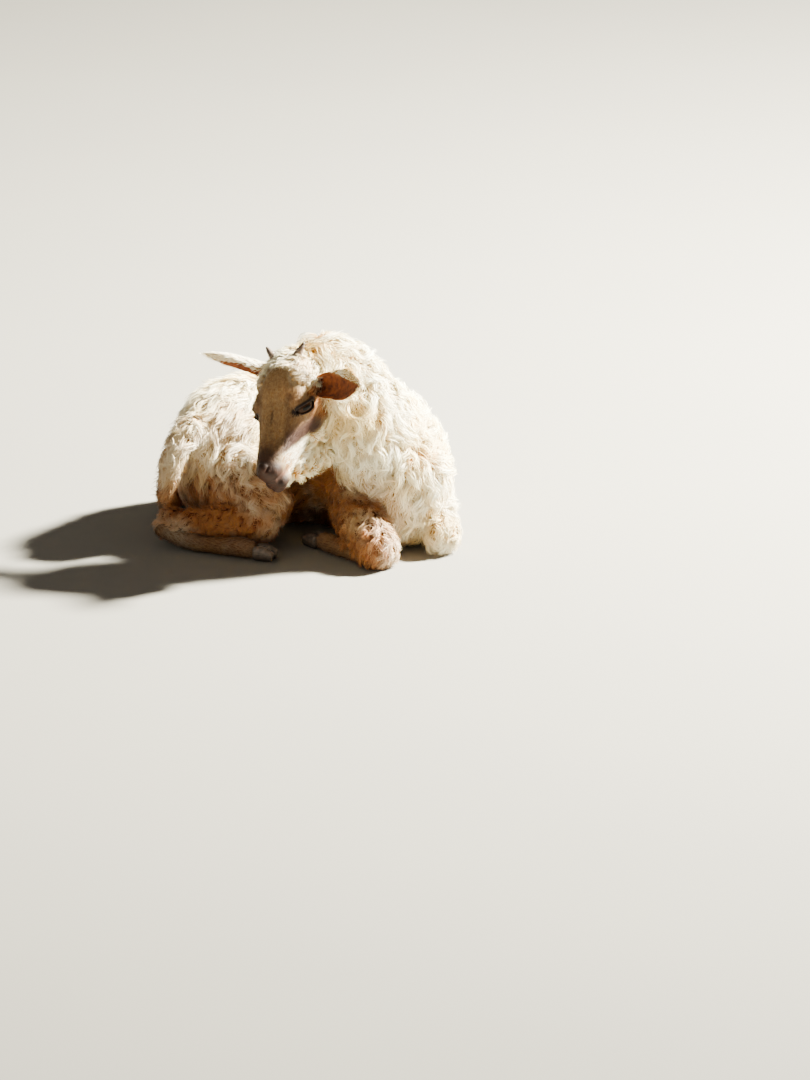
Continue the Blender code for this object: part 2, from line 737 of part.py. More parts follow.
def claw(name, foot, side):
    """One of a foot's two claws, in line with the last part of the foot."""
    last = len(foot) - 1
    ahead = heading(foot, last)
    ahead.z = 0
    turn = axes(ahead, Vector((0, 0, 1)).cross(ahead))
    made = loft(name, CLAW, 3, 8, blunt=0.5, cap=(45,))
    end = foot[-1]
    at = mm((end.x, end.y, 8.6)) + turn.to_3x3() @ mm((6.0, CLAW_APART * side, 0))
    made.data.transform(Matrix.Translation(at) @ turn)
    return made


def core(name, grow):
    """The plain form of a limb, of the trunk or of the head, grown by that many millimetres."""
    if name == "head":
        return head_core(grow)
    limb = LIMBS[name]
    under = CLUMP_ROOM if name in CLUMPS else 0.0
    return loft(name, limb.stations, limb.rings, limb.sides, ups=limb.ups, grow=limb.coat + grow - under)


def finish(target, look):
    """Keeps one closed body, shades it smooth and gives it its material."""
    keep_largest(target)
    target.data.materials.clear()
    target.data.materials.append(material(*look))
    target.data.shade_smooth()
    target.data.set_sharp_from_angle(angle=math.radians(50))


def look_of(name):
    """The material of a node, by its name."""
    if name.startswith("eye"):
        return EYE
    if name.startswith("horn"):
        return HORN
    if "claw" in name:
        return HOOF
    if name.startswith("ear") or name == "head":
        return FACE
    return FLEECE


def build():
    """Makes every node, from those that keep their whole shape to those that are cut by their neighbours."""
    clear_scene()
    made = {}
    places = {name: clump_places(name) for name in CLUMPS}
    for name in LIMBS:
        body = core(name, 0.0)
        if name in CLUMPS:
            boolean(body, clumps_on(name, places[name], 0.0), "UNION")
            thin_out(body, CLUMP_KEEP)
        cutters = [core(other, CUT_GAP) for other in made]
        for other in CLUMPS:
            if other in made:
                cutters.extend(clumps_on(other, places[other], CUT_GAP))
        if name != "head":
            cutters.extend(ear("ear", side, CUT_GAP) for side in (1, -1))
        cutters.append(floor_block())
        made[name] = boolean(body, cutters, "DIFFERENCE")
    boolean(made["head"], head_features(made["head"]), "DIFFERENCE")
    thin_out(made["head"], HEAD_KEEP)
    for side, word in ((1, "left"), (-1, "right")):
        made["eye_" + word] = eye_ball("eye_" + word, side)
        made["horn_" + word] = boolean(horn_bud("horn_" + word, side), [core("head", GAP)], "DIFFERENCE")
        made["ear_" + word] = boolean(ear("ear_" + word, side, 0.0), [core("head", GAP)], "DIFFERENCE")
        for foot in FEET:
            name = foot.replace("foot", "claw") + "_" + word
            cutters = [core(foot, GAP), core("trunk", GAP), floor_block()]
            made[name] = boolean(claw(name, LIMBS[foot].stations, side), cutters, "DIFFERENCE")
    part(made, "trunk", TRUNK, TRUNK_CUTS, ("rump", "barrel", "chest"))
    part(made, "neck", NECK, (NECK_CUT,), ("neck_lower", "neck_upper"))
    for name, body in made.items():
        body.name = name
        body.data.name = name
        finish(body, look_of(name))


def part(made, whole, stations, cuts, names):
    """Divides a long node into lengths at the given stations, with a thin gap at each."""
    body = made.pop(whole)
    planes = [(centre(between(stations, t)), heading(stations, t)) for t in cuts]
    for i, name in enumerate(names):
        piece = link(name, body.data.copy())
        cutters = []
        if i > 0:
            at, ahead = planes[i - 1]
            cutters.append(half_space("behind", at, -ahead, -GAP / 2))
        if i < len(planes):
            at, ahead = planes[i]
            cutters.append(half_space("ahead", at, ahead, -GAP / 2))
        made[name] = boolean(piece, cutters, "DIFFERENCE")
    bpy.data.objects.remove(body, do_unlink=True)


build()
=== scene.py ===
"""A white cashmere kid, life size, curled up on its chest with its head turned over its right flank.

One skin covers the kid, with lids, lips, nostrils and ear cups. Locks of fleece and loose underwool grow on
it, and short hair on the face, ears and feet. The eyes, horn buds and claws are pieces of their own.
"""

import math
from collections import namedtuple
from itertools import product

import bpy
import numpy as np
from mathutils import Matrix, Vector
from mathutils.bvhtree import BVHTree


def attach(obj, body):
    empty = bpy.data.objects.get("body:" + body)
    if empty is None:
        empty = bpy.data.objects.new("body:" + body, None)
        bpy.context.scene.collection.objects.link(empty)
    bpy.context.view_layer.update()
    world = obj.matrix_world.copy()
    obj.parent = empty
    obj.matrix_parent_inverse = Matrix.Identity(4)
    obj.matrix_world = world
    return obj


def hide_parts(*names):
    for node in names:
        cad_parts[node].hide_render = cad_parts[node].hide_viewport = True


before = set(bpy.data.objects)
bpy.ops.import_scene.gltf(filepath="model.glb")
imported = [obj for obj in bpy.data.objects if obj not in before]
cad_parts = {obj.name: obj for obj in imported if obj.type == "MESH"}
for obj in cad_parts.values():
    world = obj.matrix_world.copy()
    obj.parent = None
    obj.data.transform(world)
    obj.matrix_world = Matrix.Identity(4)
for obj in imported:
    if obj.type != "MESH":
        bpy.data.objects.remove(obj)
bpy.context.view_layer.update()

bl_info = {
    "name": "Cashmere Kid",
    "version": (1, 0, 0),
    "blender": (4, 5, 0),
    "location": "View3D > Sidebar > Kid",
    "description": "Skin, fleece, eyes, horn buds and claws of a resting cashmere kid",
    "category": "Add Mesh",
}

# Sections of each limb in millimetres: x, y, z, half width, height above the middle, depth below it.
TRUNK = (
    (-122, -74, 78, 28, 38, 58),
    (-98, -46, 88, 44, 55, 92),
    (-56, -8, 88, 53, 56, 94),
    (-4, 0, 86, 58, 62, 94),
    (42, -32, 86, 57, 62, 92),
    (72, -88, 80, 50, 52, 86),
    (88, -126, 70, 36, 38, 62),
)
NECK = (
    (62, -104, 98, 40, 42, 50),
    (44, -116, 136, 37, 38, 46),
    (23, -116, 166, 32, 37, 44),
    (5, -112, 184, 28, 32, 38),
    (-8, -110, 192, 25, 28, 32),
)
THIGH_RIGHT = ((-106, -62, 82, 22, 26, 36), (-82, -92, 60, 28, 32, 38), (-56, -114, 40, 22, 25, 28))
SHANK_RIGHT = (
    (-56, -122, 32, 17, 20, 20),
    (-90, -122, 29, 15, 17, 18),
    (-128, -114, 26, 9, 11, 12),
    (-156, -106, 25, 9, 12, 14),
)
FOOT_RIGHT = (
    (-161, -107, 20, 9, 11, 11),
    (-134, -126, 11, 7.5, 8, 9),
    (-100, -142, 10, 7.5, 8, 9),
    (-84, -149, 12, 9.5, 9.5, 11),
    (-70, -154, 11, 8.5, 8, 10),
)
THIGH_LEFT = ((-122, -22, 88, 22, 28, 36), (-112, 14, 62, 28, 34, 38), (-88, 42, 42, 22, 26, 28))
SHANK_LEFT = (
    (-92, 46, 34, 17, 20, 20),
    (-118, 32, 30, 15, 17, 18),
    (-142, 6, 26, 9, 11, 12),
    (-155, -20, 25, 9, 12, 14),
)
FOOT_LEFT = (
    (-158, -20, 20, 9, 11, 11),
    (-156, 12, 11, 7.5, 8, 9),
    (-142, 46, 10, 7.5, 8, 9),
    (-134, 61, 12, 9.5, 9.5, 11),
    (-126, 74, 11, 8.5, 8, 10),
)
FOREARM_RIGHT = (
    (36, -104, 46, 24, 28, 30),
    (41, -138, 35, 22, 22, 25),
    (52, -170, 24, 17, 18, 20),
    (58, -187, 18, 15, 15, 18),
)
CANNON_RIGHT = ((52, -186, 12, 8.5, 10, 12), (32, -162, 10, 7, 8, 10), (12, -138, 10, 9, 9, 10),
                (2, -125, 10, 8, 8, 9))
FOREARM_LEFT = (
    (102, -60, 46, 22, 28, 30),
    (110, -94, 34, 18, 21, 24),
    (118, -124, 22, 14, 16, 19),
    (120, -138, 18, 13, 15, 18),
)
CANNON_LEFT = ((122, -134, 12, 8.5, 10, 12), (126, -104, 10, 7, 8, 10), (126, -74, 10, 9, 9, 10),
               (124, -58, 10, 8, 8, 9))
TAIL = (
    (-128, -86, 118, 13, 10, 10),
    (-143, -102, 100, 12, 8, 8),
    (-152, -110, 78, 9, 6, 6),
    (-157, -112, 54, 5, 4, 4),
)

# The head has its own axes: x runs from the poll to the nose, y to the left and z to the crown.
HEAD = (
    (-2, 0, 0, 16, 17, 18),
    (8, 0, 4, 25, 29, 30),
    (20, 0, 8, 29, 32, 44),
    (36, 0, 10, 31, 31, 54),
    (52, 0, 9, 30, 28, 54),
    (66, 0, 6, 27, 23, 52),
    (82, 0, 2, 22, 20, 47),
    (98, 0, -1, 18, 18.5, 40),
    (114, 0, -3, 15.5, 16.5, 33),
    (128, 0, -4, 13, 14, 26),
    (137, 0, -5, 9.5, 10, 18),
)
HEAD_AT = (-15.0, -113.0, 181.0)
HEAD_YAW = math.radians(20.0)
HEAD_PITCH = math.radians(31.0)
HEAD_ROLL = math.radians(16.0)

EYE_AT = (60.0, 21.0, 11.0)
EYE_RADIUS = 11.6
LID_THICKNESS = 1.7
EYE_FACING = (0.50, 0.84, 0.20)
EYE_CORNERS = (0.82, -0.54, 0.20)
EYE_SLIT = (12.6, 3.9, 9.0)
PUPIL = (4.4, 1.9)

MOUTH_AT = (116.0, 0.0, -12.0)
MOUTH_SPREAD = math.radians(118.0)
MOUTH_DROP = 5.0
MOUTH_BACK = 7.0
NOSTRIL_AT = (138.5, 7.0, 4.5)
NOSTRIL_SIZE = (6.4, 3.4, 1.8)
NOSTRIL_LENGTHWISE = (0.78, -0.54, -0.35)
NOSTRIL_OUT = (0.5, 0.75, 0.3)

# Rounded forms on the head: middle and half sizes, for each side of the head.
BULGES = (
    ((54, 18, 21), (17, 10, 8)),
    ((46, 16, -18), (26, 12, 23)),
    ((126, 6, -5), (14, 8, 9)),
    ((125, 5, -22), (12, 8, 7)),
    ((135, 0, 2), (7, 6.5, 7.5)),
    ((126, 0, -27), (12, 8, 7)),
)

# Woolly bulges under the jaw and throat: middle and half sizes, for each side of the head.
JAW_WOOL = (
    ((96, 7, -38), (18, 9, 11)),
    ((70, 9, -50), (24, 13, 14)),
    ((42, 12, -58), (26, 17, 20)),
)
JAW_WOOL_DEPTH = 4.0

HORN_AT = (16.0, 12.0, 36.0)
HORN_LEAN = (-0.56, 0.60, 0.52)
HORN_HEIGHT = 15.0
HORN_RADIUS = 6.0

EAR_ROOT = {1: (29.0, 27.0, 5.0), -1: (11.0, 21.0, 21.0)}
EAR_LENGTH = 78.0
EAR_AHEAD = {1: (0.33, 0.90, 0.28), -1: (-0.06, 0.94, 0.34)}
EAR_OPENING = {1: (0.51, -0.39, 0.77), -1: (0.90, -0.10, -0.42)}
# white hair on the upper cup is painted light that stands for the ear's sunlit back
EAR_PAINTED_LIGHT = {1: (-1.22, 1.42), -1: (0.45, 0.0)}      # where the white of the cup ends, and its slope
EAR_ARCH = 3.0
EAR_HALF_WIDTH = 18.0
EAR_THICKNESS = 1.9
EAR_WIDEST = 0.45

CLAW = ((0, 0, 0, 4.4, 6.5, 8), (9, 0, 0, 5.0, 6.5, 8), (18, 0, -1.5, 4.0, 3.6, 6.5))
CLAW_APART = 5.8

# Stains and painted shade in metres: middle, half sizes, where they begin and are full, and strength.
STAIN_AND_SHADE_PATCHES = (
    ((-0.087, -0.080, 0.117), (0.030, 0.040, 0.030), (1.2, 0.5), 0.45),
    ((0.056, -0.180, 0.030), (0.045, 0.050, 0.045), (1.2, 0.6), 0.35),
    ((-0.128, -0.104, 0.056), (0.036, 0.045, 0.024), (1.25, 0.55), 1.0),
)

UPRIGHT = ((0, 0, 1), (0, 0, 1))

# skin is how far the skin lies outside the sections, and long, wide and lift are the length, width and height
# of a lock of the coat there, all in mm. flow is 1 where the hair lies towards the limb's end.
Limb = namedtuple("Limb", "rows ups skin rings sides flow long wide lift")
LIMBS = {
    "trunk": Limb(TRUNK, UPRIGHT, 1.0, 60, 72, -1, 27, 10.5, 8.0),
    "neck": Limb(NECK, ((0.25, 0.65, 0.7), (0.35, 0.35, 0.87)), 1.0, 40, 64, -1, 26, 9.5, 8.0),
    "thigh_right": Limb(THIGH_RIGHT, UPRIGHT, 1.0, 24, 48, 1, 22, 8.0, 6.5),
    "thigh_left": Limb(THIGH_LEFT, UPRIGHT, 1.0, 24, 48, 1, 22, 8.0, 6.5),
    "shank_right": Limb(SHANK_RIGHT, UPRIGHT, 0.4, 24, 32, 1, 13, 5.0, 2.2),
    "shank_left": Limb(SHANK_LEFT, UPRIGHT, 0.4, 24, 32, 1, 13, 5.0, 2.2),
    "forearm_right": Limb(FOREARM_RIGHT, UPRIGHT, 0.8, 24, 32, 1, 17, 6.5, 4.6),
    "forearm_left": Limb(FOREARM_LEFT, UPRIGHT, 0.8, 24, 32, 1, 17, 6.5, 4.6),
    "tail": Limb(TAIL, ((-0.6, -0.5, 0.6), (-0.8, -0.6, 0.1)), 0.6, 24, 24, 1, 22, 6.5, 4.0),
    "hind_foot_right": Limb(FOOT_RIGHT, UPRIGHT, 0.0, 40, 32, 1, 4.5, 0.5, 0.6),
    "hind_foot_left": Limb(FOOT_LEFT, UPRIGHT, 0.0, 40, 32, 1, 4.5, 0.5, 0.6),
    "fore_foot_right": Limb(CANNON_RIGHT, UPRIGHT, 0.0, 32, 32, 1, 4.5, 0.5, 0.6),
    "fore_foot_left": Limb(CANNON_LEFT, UPRIGHT, 0.0, 32, 32, 1, 4.5, 0.5, 0.6),
    "head": Limb(HEAD, UPRIGHT, -0.4, 60, 64, -1, 4.0, 0.45, 0.5),
}
SIDES = (("left", 1), ("right", -1))
FLEECED = ("trunk", "neck", "thigh", "shank", "forearm", "tail")
FEET = {"hind_foot_right": FOOT_RIGHT, "hind_foot_left": FOOT_LEFT, "fore_foot_right": CANNON_RIGHT,
        "fore_foot_left": CANNON_LEFT}

# Places of the regions on the skin's unwrap: left, bottom, width and height.
SMALL_CELLS = [name for name in LIMBS if name not in ("trunk", "neck", "head")] + ["ear_left", "ear_right"]
CELLS = {name: (0.125 * (i % 8), 0.5 + 0.25 * (i // 8), 0.125, 0.25) for i, name in enumerate(SMALL_CELLS)}
CELLS.update({"trunk": (0, 0, 0.5, 0.5), "neck": (0.5, 0, 0.25, 0.5), "head": (0.75, 0, 0.25, 0.5)})
CELL_MARGIN = 0.06
PATCH = 0.0015               # half the size of a lock's patch on the unwrap
REGIONS = list(LIMBS) + ["ear_left", "ear_right"]

AROUND = list(product((-1, 0, 1), repeat=3))
SEED = 7
LOCK_STEPS = 6               # lengths that a strand of fleece is made of
HAIR_STEPS = 3               # the same for a short hair
LOCK_TRIES = 90000           # points of the skin that are tried for a lock
WOOL_HAIRS = 60000
SHORT_HAIRS = 150000
PIECE_LIMIT = 195000         # triangles in one piece of the coat
BODY_GRID = 0.0020           # cells that the skin is remeshed with, in metres
HEAD_GRID = 0.0010
FACE_GRID = 0.0008
BLUNT = 0.6                  # length of a limb's rounded end, in half widths


def linear(code):
    """An sRGB hex colour as linear numbers."""
    parts = [int(code[i:i + 2], 16) / 255 for i in (1, 3, 5)]
    return tuple(p / 12.92 if p <= 0.04045 else ((p + 0.055) / 1.055) ** 2.4 for p in parts)


def unit(vectors):
    """Vectors of length 1."""
    return vectors / np.maximum(np.linalg.norm(vectors, axis=-1, keepdims=True), 1e-9)


def dot(a, b):
    """Dot products along the last axis, kept as a column."""
    return np.sum(a * b, axis=-1, keepdims=True)


def smooth(low, high, x):
    """0 below low and 1 above high, with a soft step between."""
    s = np.clip((x - low) / (high - low), 0, 1)
    return s * s * (3 - 2 * s)


def mirrored(point, side):
    """A point of the head's left side, or of its right one for side -1."""
    return Vector((point[0], point[1] * side, point[2]))


def far_from(points, middle, radii):
    """How far points lie from an ellipsoid's middle, where 1 is its surface."""
    return np.linalg.norm((points - np.array(middle)) / np.array(radii), axis=1)


def on(region, *words):
    """Which points belong to the regions whose names start with one of the words."""
    return np.isin(region, [i for i, name in enumerate(REGIONS) if name.startswith(words)])


def axes(x, y):
    """A rotation whose x axis is x, and whose y axis is near y."""
    x = Vector(x).normalized()
    z = x.cross(Vector(y)).normalized()
    return Matrix((x, z.cross(x), z)).transposed().to_4x4()


def head_matrix():
    """Places the head's own axes in the model."""
    ahead = Vector((-math.sin(HEAD_YAW) * math.cos(HEAD_PITCH), -math.cos(HEAD_YAW) * math.cos(HEAD_PITCH),
                    -math.sin(HEAD_PITCH)))
    level = Vector((math.cos(HEAD_YAW), -math.sin(HEAD_YAW), 0))
    left = level * math.cos(HEAD_ROLL) + ahead.cross(level) * math.sin(HEAD_ROLL)
    turn = Matrix((ahead, left, ahead.cross(left))).transposed().to_4x4()
    return Matrix.Translation(Vector(HEAD_AT) * 0.001) @ turn


def eye_turn(side):
    """The eye's own axes: x from corner to corner, and y the way it faces."""
    return axes(mirrored(EYE_CORNERS, side), mirrored(EYE_FACING, side).normalized())


def nostril_turn(side):
    """The nostril's own axes: x along its slit, and y near the way it opens."""
    return axes(mirrored(NOSTRIL_LENGTHWISE, side), mirrored(NOSTRIL_OUT, side))


HEAD_TO_MODEL = head_matrix()
MODEL_TO_HEAD = HEAD_TO_MODEL.inverted()


def moved(matrix, points, w=1.0):
    """Points, or directions for w 0, through a matrix."""
    m = np.array(matrix)
    return points @ m[:3, :3].T + m[:3, 3] * w


def sections(rows, ups, t):
    """Frames of a limb at stations t, in metres: middle, ahead, left, top, half width, rise and fall."""
    rows = np.array(rows, float) * 0.001
    last = len(rows) - 1
    t = np.clip(np.asarray(t, float), 0, last)

    def curve(t):
        i = np.minimum(t.astype(int), last - 1)
        u = (t - i)[..., None]
        a, b = rows[np.maximum(i - 1, 0)], rows[i]
        c, d = rows[i + 1], rows[np.minimum(i + 2, last)]
        bend = (2 * a - 5 * b + 4 * c - d) * u * u + (3 * b - a - 3 * c + d) * u ** 3
        return 0.5 * (2 * b + (c - a) * u + bend)

    here = curve(t)
    ahead = unit((curve(np.minimum(t + 0.02, last)) - curve(np.maximum(t - 0.02, 0)))[..., :3])
    share = (t / last)[..., None]
    up = np.array(ups[0], float) * (1 - share) + np.array(ups[1], float) * share
    left = unit(np.cross(up, ahead))
    return here[..., :3], ahead, left, np.cross(ahead, left), here[..., 3], here[..., 4], here[..., 5]


def place(name, points):
    """Station and angle of points relative to a limb, and how far outside its surface they lie, in metres."""
    if name == "head":
        points = moved(MODEL_TO_HEAD, points)
    limb = LIMBS[name]
    last = len(limb.rows) - 1
    stations = np.linspace(0, last, 12 * last + 1)
    middle, ahead, left, top, wide, rise, fall = sections(limb.rows, limb.ups, stations)
    near = np.empty(len(points), int)
    for start in range(0, len(points), 20000):
        part = points[start:start + 20000]
        near[start:start + 20000] = np.argmin(((part[:, None] - middle[None]) ** 2).sum(-1), axis=1)
    offset = points - middle[near]
    aside = dot(offset, left[near])[:, 0]
    over = dot(offset, top[near])[:, 0]
    beyond = dot(offset, ahead[near])[:, 0]
    tall = np.where(over > 0, rise[near], fall[near])
    end = BLUNT * np.minimum(wide, rise)[near]
    reach = np.where((near == 0) | (near == len(stations) - 1), beyond / end, 0)
    far = np.sqrt((aside / wide[near]) ** 2 + (over / tall) ** 2 + reach ** 2)
    away = np.linalg.norm(offset, axis=1) * (1 - 1 / np.maximum(far, 0.01))
    return stations[near] + reach * 0.5, np.arctan2(over / tall, aside / wide[near]), away


def ear_place(side, points):
    """Share of the ear's length, distance from its middle line in mm, and way across it in half widths."""
    here = moved(MODEL_TO_HEAD, points) * 1000
    along = np.array(mirrored(EAR_AHEAD[side], side).normalized())
    offset = here - np.array(mirrored(EAR_ROOT[side], side))
    share = dot(offset, along)[:, 0] / EAR_LENGTH
    across = np.cross(along, np.array(mirrored(EAR_OPENING[side], side)))
    across = across / np.linalg.norm(across) * side
    away = np.linalg.norm(offset - along * (share * EAR_LENGTH)[:, None], axis=1)
    return share, away, dot(offset, across)[:, 0] / EAR_HALF_WIDTH


def region_of(points):
    """The number in REGIONS of the limb that each point of the skin belongs to."""
    best = np.full(len(points), np.inf)
    region = np.zeros(len(points), int)
    for i, name in enumerate(LIMBS):
        far = place(name, points)[2]
        if name == "head":
            here = moved(MODEL_TO_HEAD, points) * 1000
            here[:, 1] = np.abs(here[:, 1])
            for at, radii in (*BULGES, *JAW_WOOL):
                far = np.minimum(far, (far_from(here, at, radii) - 1) * min(radii) * 0.001)
        region[far < best] = i
        best = np.minimum(best, far)
    # past its root an ear also takes points that lie nearer to another limb than to the head
    for start, room, gap, limbs in ((0.06, 4, 0.003, ("head",)), (0.15, 2, 0.004, tuple(REGIONS))):
        for word, side in SIDES:
            share, away, _ = ear_place(side, points)
            ear = (share > start) & (share < 1.1) & (away < EAR_HALF_WIDTH + room) & (best > gap)
            region[ear & on(region, *limbs)] = REGIONS.index("ear_" + word)
    return region


def unwrapped(points, region):
    """Places on the unwrap of points in the given regions, one row of the result for each point."""
    flat = np.zeros((len(points), 2))
    for i, name in enumerate(REGIONS):
        mine = np.nonzero(region == i)[0]
        if len(mine) == 0:
            continue
        if name.startswith("ear"):
            share, _, across = ear_place(dict(SIDES)[name[4:]], points[mine])
            uv = np.stack((0.5 + across * 0.45, share), axis=1)
        else:
            t, angle, _ = place(name, points[mine])
            last = len(LIMBS[name].rows) - 1
            uv = np.stack((angle / (2 * math.pi) + 0.5, (t + 0.6) / (last + 1.2)), axis=1)
        left, bottom, wide, tall = CELLS[name]
        inner = 1 - 2 * CELL_MARGIN
        flat[mine, 0] = left + wide * (CELL_MARGIN + inner * uv[:, 0])
        flat[mine, 1] = bottom + tall * (CELL_MARGIN + inner * uv[:, 1])
    return flat


def mesh_object(name, points, faces):
    """An object of triangles or of four-sided faces from arrays, in metres."""
    mesh = bpy.data.meshes.new(name)
    sides = faces.shape[1]
    mesh.vertices.add(len(points))
    mesh.vertices.foreach_set("co", np.ascontiguousarray(points, np.float32).ravel())
    mesh.loops.add(faces.size)
    mesh.loops.foreach_set("vertex_index", np.ascontiguousarray(faces, np.int32).ravel())
    mesh.polygons.add(len(faces))
    mesh.polygons.foreach_set("loop_start", np.arange(0, faces.size, sides, dtype=np.int32))
    mesh.polygons.foreach_set("use_smooth", np.full(len(faces), True))
    mesh.update(calc_edges=True)
    made = bpy.data.objects.new(name, mesh)
    bpy.context.scene.collection.objects.link(made)
    return made


def mark(mesh, name, values):
    """Stores a number for each point of a mesh."""
    layer = mesh.attributes.new(name, "FLOAT", "POINT")
    layer.data.foreach_set("value", np.ascontiguousarray(values, np.float32))


def points_of(mesh):
    """The points of a mesh as an array."""
    flat = np.empty(len(mesh.vertices) * 3, np.float32)
    mesh.vertices.foreach_get("co", flat)
    return flat.reshape(-1, 3).astype(float)


def put(made, points):
    """Moves the points of an object's mesh to new places."""
    made.data.vertices.foreach_set("co", points.astype(np.float32).ravel())
    made.data.update()


def triangles_of(mesh):
    """The corners of a mesh's triangles as an array."""
    mesh.calc_loop_triangles()
    corners = np.empty(len(mesh.loop_triangles) * 3, np.int32)
    mesh.loop_triangles.foreach_get("vertices", corners)
    return corners.reshape(-1, 3)


def ringed(count, sides):
    """Triangles of a closed body made of rings of points, with one point more at each end."""
    i, k = np.meshgrid(np.arange(count - 1), np.arange(sides), indexing="ij")
    a, b = i * sides + k, i * sides + (k + 1) % sides
    k = np.arange(sides)
    beside, last = (k + 1) % sides, (count - 1) * sides
    return np.concatenate((np.stack((a, b, b + sides), axis=-1).reshape(-1, 3),
                           np.stack((a, b + sides, a + sides), axis=-1).reshape(-1, 3),
                           np.stack((beside, k, np.full(sides, count * sides)), axis=1),
                           np.stack((k + last, beside + last, np.full(sides, count * sides + 1)), axis=1)))


def tube(name, rows, ups, rings, sides, grow=0.0, taper=0.0, blunt=BLUNT, caps=(78, 66, 54, 42, 30, 15)):
    """A closed round body through the sections, with rounded ends, grow millimetres thicker all round."""
    last = len(rows) - 1
    t = np.concatenate((np.zeros(len(caps)), np.linspace(0, last, rings), np.full(len(caps), last)))
    bend = np.radians(np.concatenate((-np.array(caps), np.zeros(rings), np.array(caps)[::-1])))
    middle, ahead, left, top, wide, rise, fall = sections(rows, ups, t)
    angle = np.linspace(0, 2 * math.pi, sides, endpoint=False)
    up = np.sin(angle)[None]
    tall = np.where(up > 0, rise[:, None], fall[:, None]) + grow * 0.001
    broad = (wide[:, None] + grow * 0.001) * (1 - taper * np.maximum(0, -up) ** 1.5)
    shrink = np.cos(bend)[:, None, None]
    ring = left[:, None] * (np.cos(angle)[None] * broad)[..., None] + top[:, None] * (up * tall)[..., None]
    end = (blunt * np.minimum(wide, rise) + grow * 0.001) * np.sin(bend)
    points = middle[:, None] + ahead[:, None] * end[:, None, None] + ring * shrink
    tips = (blunt * np.minimum(wide, rise) + grow * 0.001)[[0, -1]] * np.array([-1, 1])
    poles = middle[[0, -1]] + ahead[[0, -1]] * tips[:, None]
    return mesh_object(name, np.concatenate((points.reshape(-1, 3), poles)), ringed(len(t), sides))


def ball(name, at, radii, turn=None, segments=40, rings=24):
    """An ellipsoid at a point, with its radii along the axes of turn, in millimetres."""
    angle = np.linspace(0, 2 * math.pi, segments, endpoint=False)
    rise = np.linspace(-math.pi / 2, math.pi / 2, rings + 1)[1:-1]
    ring = np.stack((np.cos(angle), np.sin(angle)), axis=1)
    rows = [np.column_stack((ring * math.cos(r), np.full(segments, math.sin(r)))) for r in rise]
    points = np.concatenate(rows)
    points = np.concatenate((points, [[0, 0, -1], [0, 0, 1]]))
    points = points * np.array(radii) * 0.001
    points = moved(turn or Matrix.Identity(4), points) + np.array(at) * 0.001
    return mesh_object(name, points, ringed(rings - 1, segments))


def apply(target):
    """Turns an object's modifiers into its mesh."""
    graph = bpy.context.evaluated_depsgraph_get()
    graph.update()
    mesh = bpy.data.meshes.new_from_object(target.evaluated_get(graph))
    target.modifiers.clear()
    target.data = mesh
    return target


def change(target, kind, **settings):
    """Adds a modifier with its settings and applies it."""
    made = target.modifiers.new(kind.lower(), kind)
    for key, value in settings.items():
        setattr(made, key, value)
    return apply(target)


def merged(name, parts):
    """One object from several, which are removed."""
    points, faces, count = [], [], 0
    for part in parts:
        points.append(points_of(part.data))
        faces.append(triangles_of(part.data) + count)
        count += len(points[-1])
        bpy.data.objects.remove(part, do_unlink=True)
    return mesh_object(name, np.concatenate(points), np.concatenate(faces))


def cut(target, others, operation):
    """Joins the others to the target, or cuts them from it, and removes them."""
    pool = bpy.data.collections.new("cutters")
    bpy.context.scene.collection.children.link(pool)
    for other in others:
        for home in list(other.users_collection):
            home.objects.unlink(other)
        pool.objects.link(other)
    change(target, "BOOLEAN", operation=operation, operand_type="COLLECTION", collection=pool,
           solver="MANIFOLD")
    for other in others:
        bpy.data.objects.remove(other, do_unlink=True)
    bpy.data.collections.remove(pool)
    return target


def in_head(made):
    """Moves a piece that was made in the head's own axes to its place in the model."""
    made.data.transform(HEAD_TO_MODEL)
    return made


def ear(side):
    """A leaf-shaped ear that is rolled at its root and opens out to a cup."""
    along = np.array(mirrored(EAR_AHEAD[side], side).normalized())
    opening = np.array(mirrored(EAR_OPENING[side], side))
    across = unit(np.cross(along, opening)) * side
    opening = unit(np.cross(across, along)) * side
    u = np.linspace(0, 1, 41)[:, None]
    v = np.linspace(-1, 1, 25)[None]
    half = np.where(u < EAR_WIDEST, 0.55 + 0.45 * np.sin(np.pi * (u * 1.35 + 0.10)),
                    np.cos(np.pi / 2 * np.clip((u - EAR_WIDEST) / (1 - EAR_WIDEST), 0, 1) ** 1.6))
    half = np.maximum(half * EAR_HALF_WIDTH, 0.8)
    roll = np.radians(118 - 78 * np.minimum(1.0, u * 1.6))
    radius = half / roll
    middle = np.array(mirrored(EAR_ROOT[side], side)) + along * (EAR_LENGTH * u)[..., None]
    middle = middle - opening * (EAR_ARCH * np.sin(np.pi * u))[..., None]
    sheet = middle + across * (radius * np.sin(v * roll))[..., None]
    sheet = sheet + opening * (radius * (1 - np.cos(v * roll)))[..., None]
    rows, columns = sheet.shape[:2]
    i, k = np.meshgrid(np.arange(rows - 1), np.arange(columns - 1), indexing="ij")
    a = i * columns + k
    quads = np.stack((a, a + 1, a + columns + 1, a + columns), axis=-1).reshape(-1, 4)
    made = mesh_object("ear", sheet.reshape(-1, 3) * 0.001, quads)
    change(made, "SOLIDIFY", thickness=EAR_THICKNESS * 0.001, offset=0.0)
    return in_head(made)


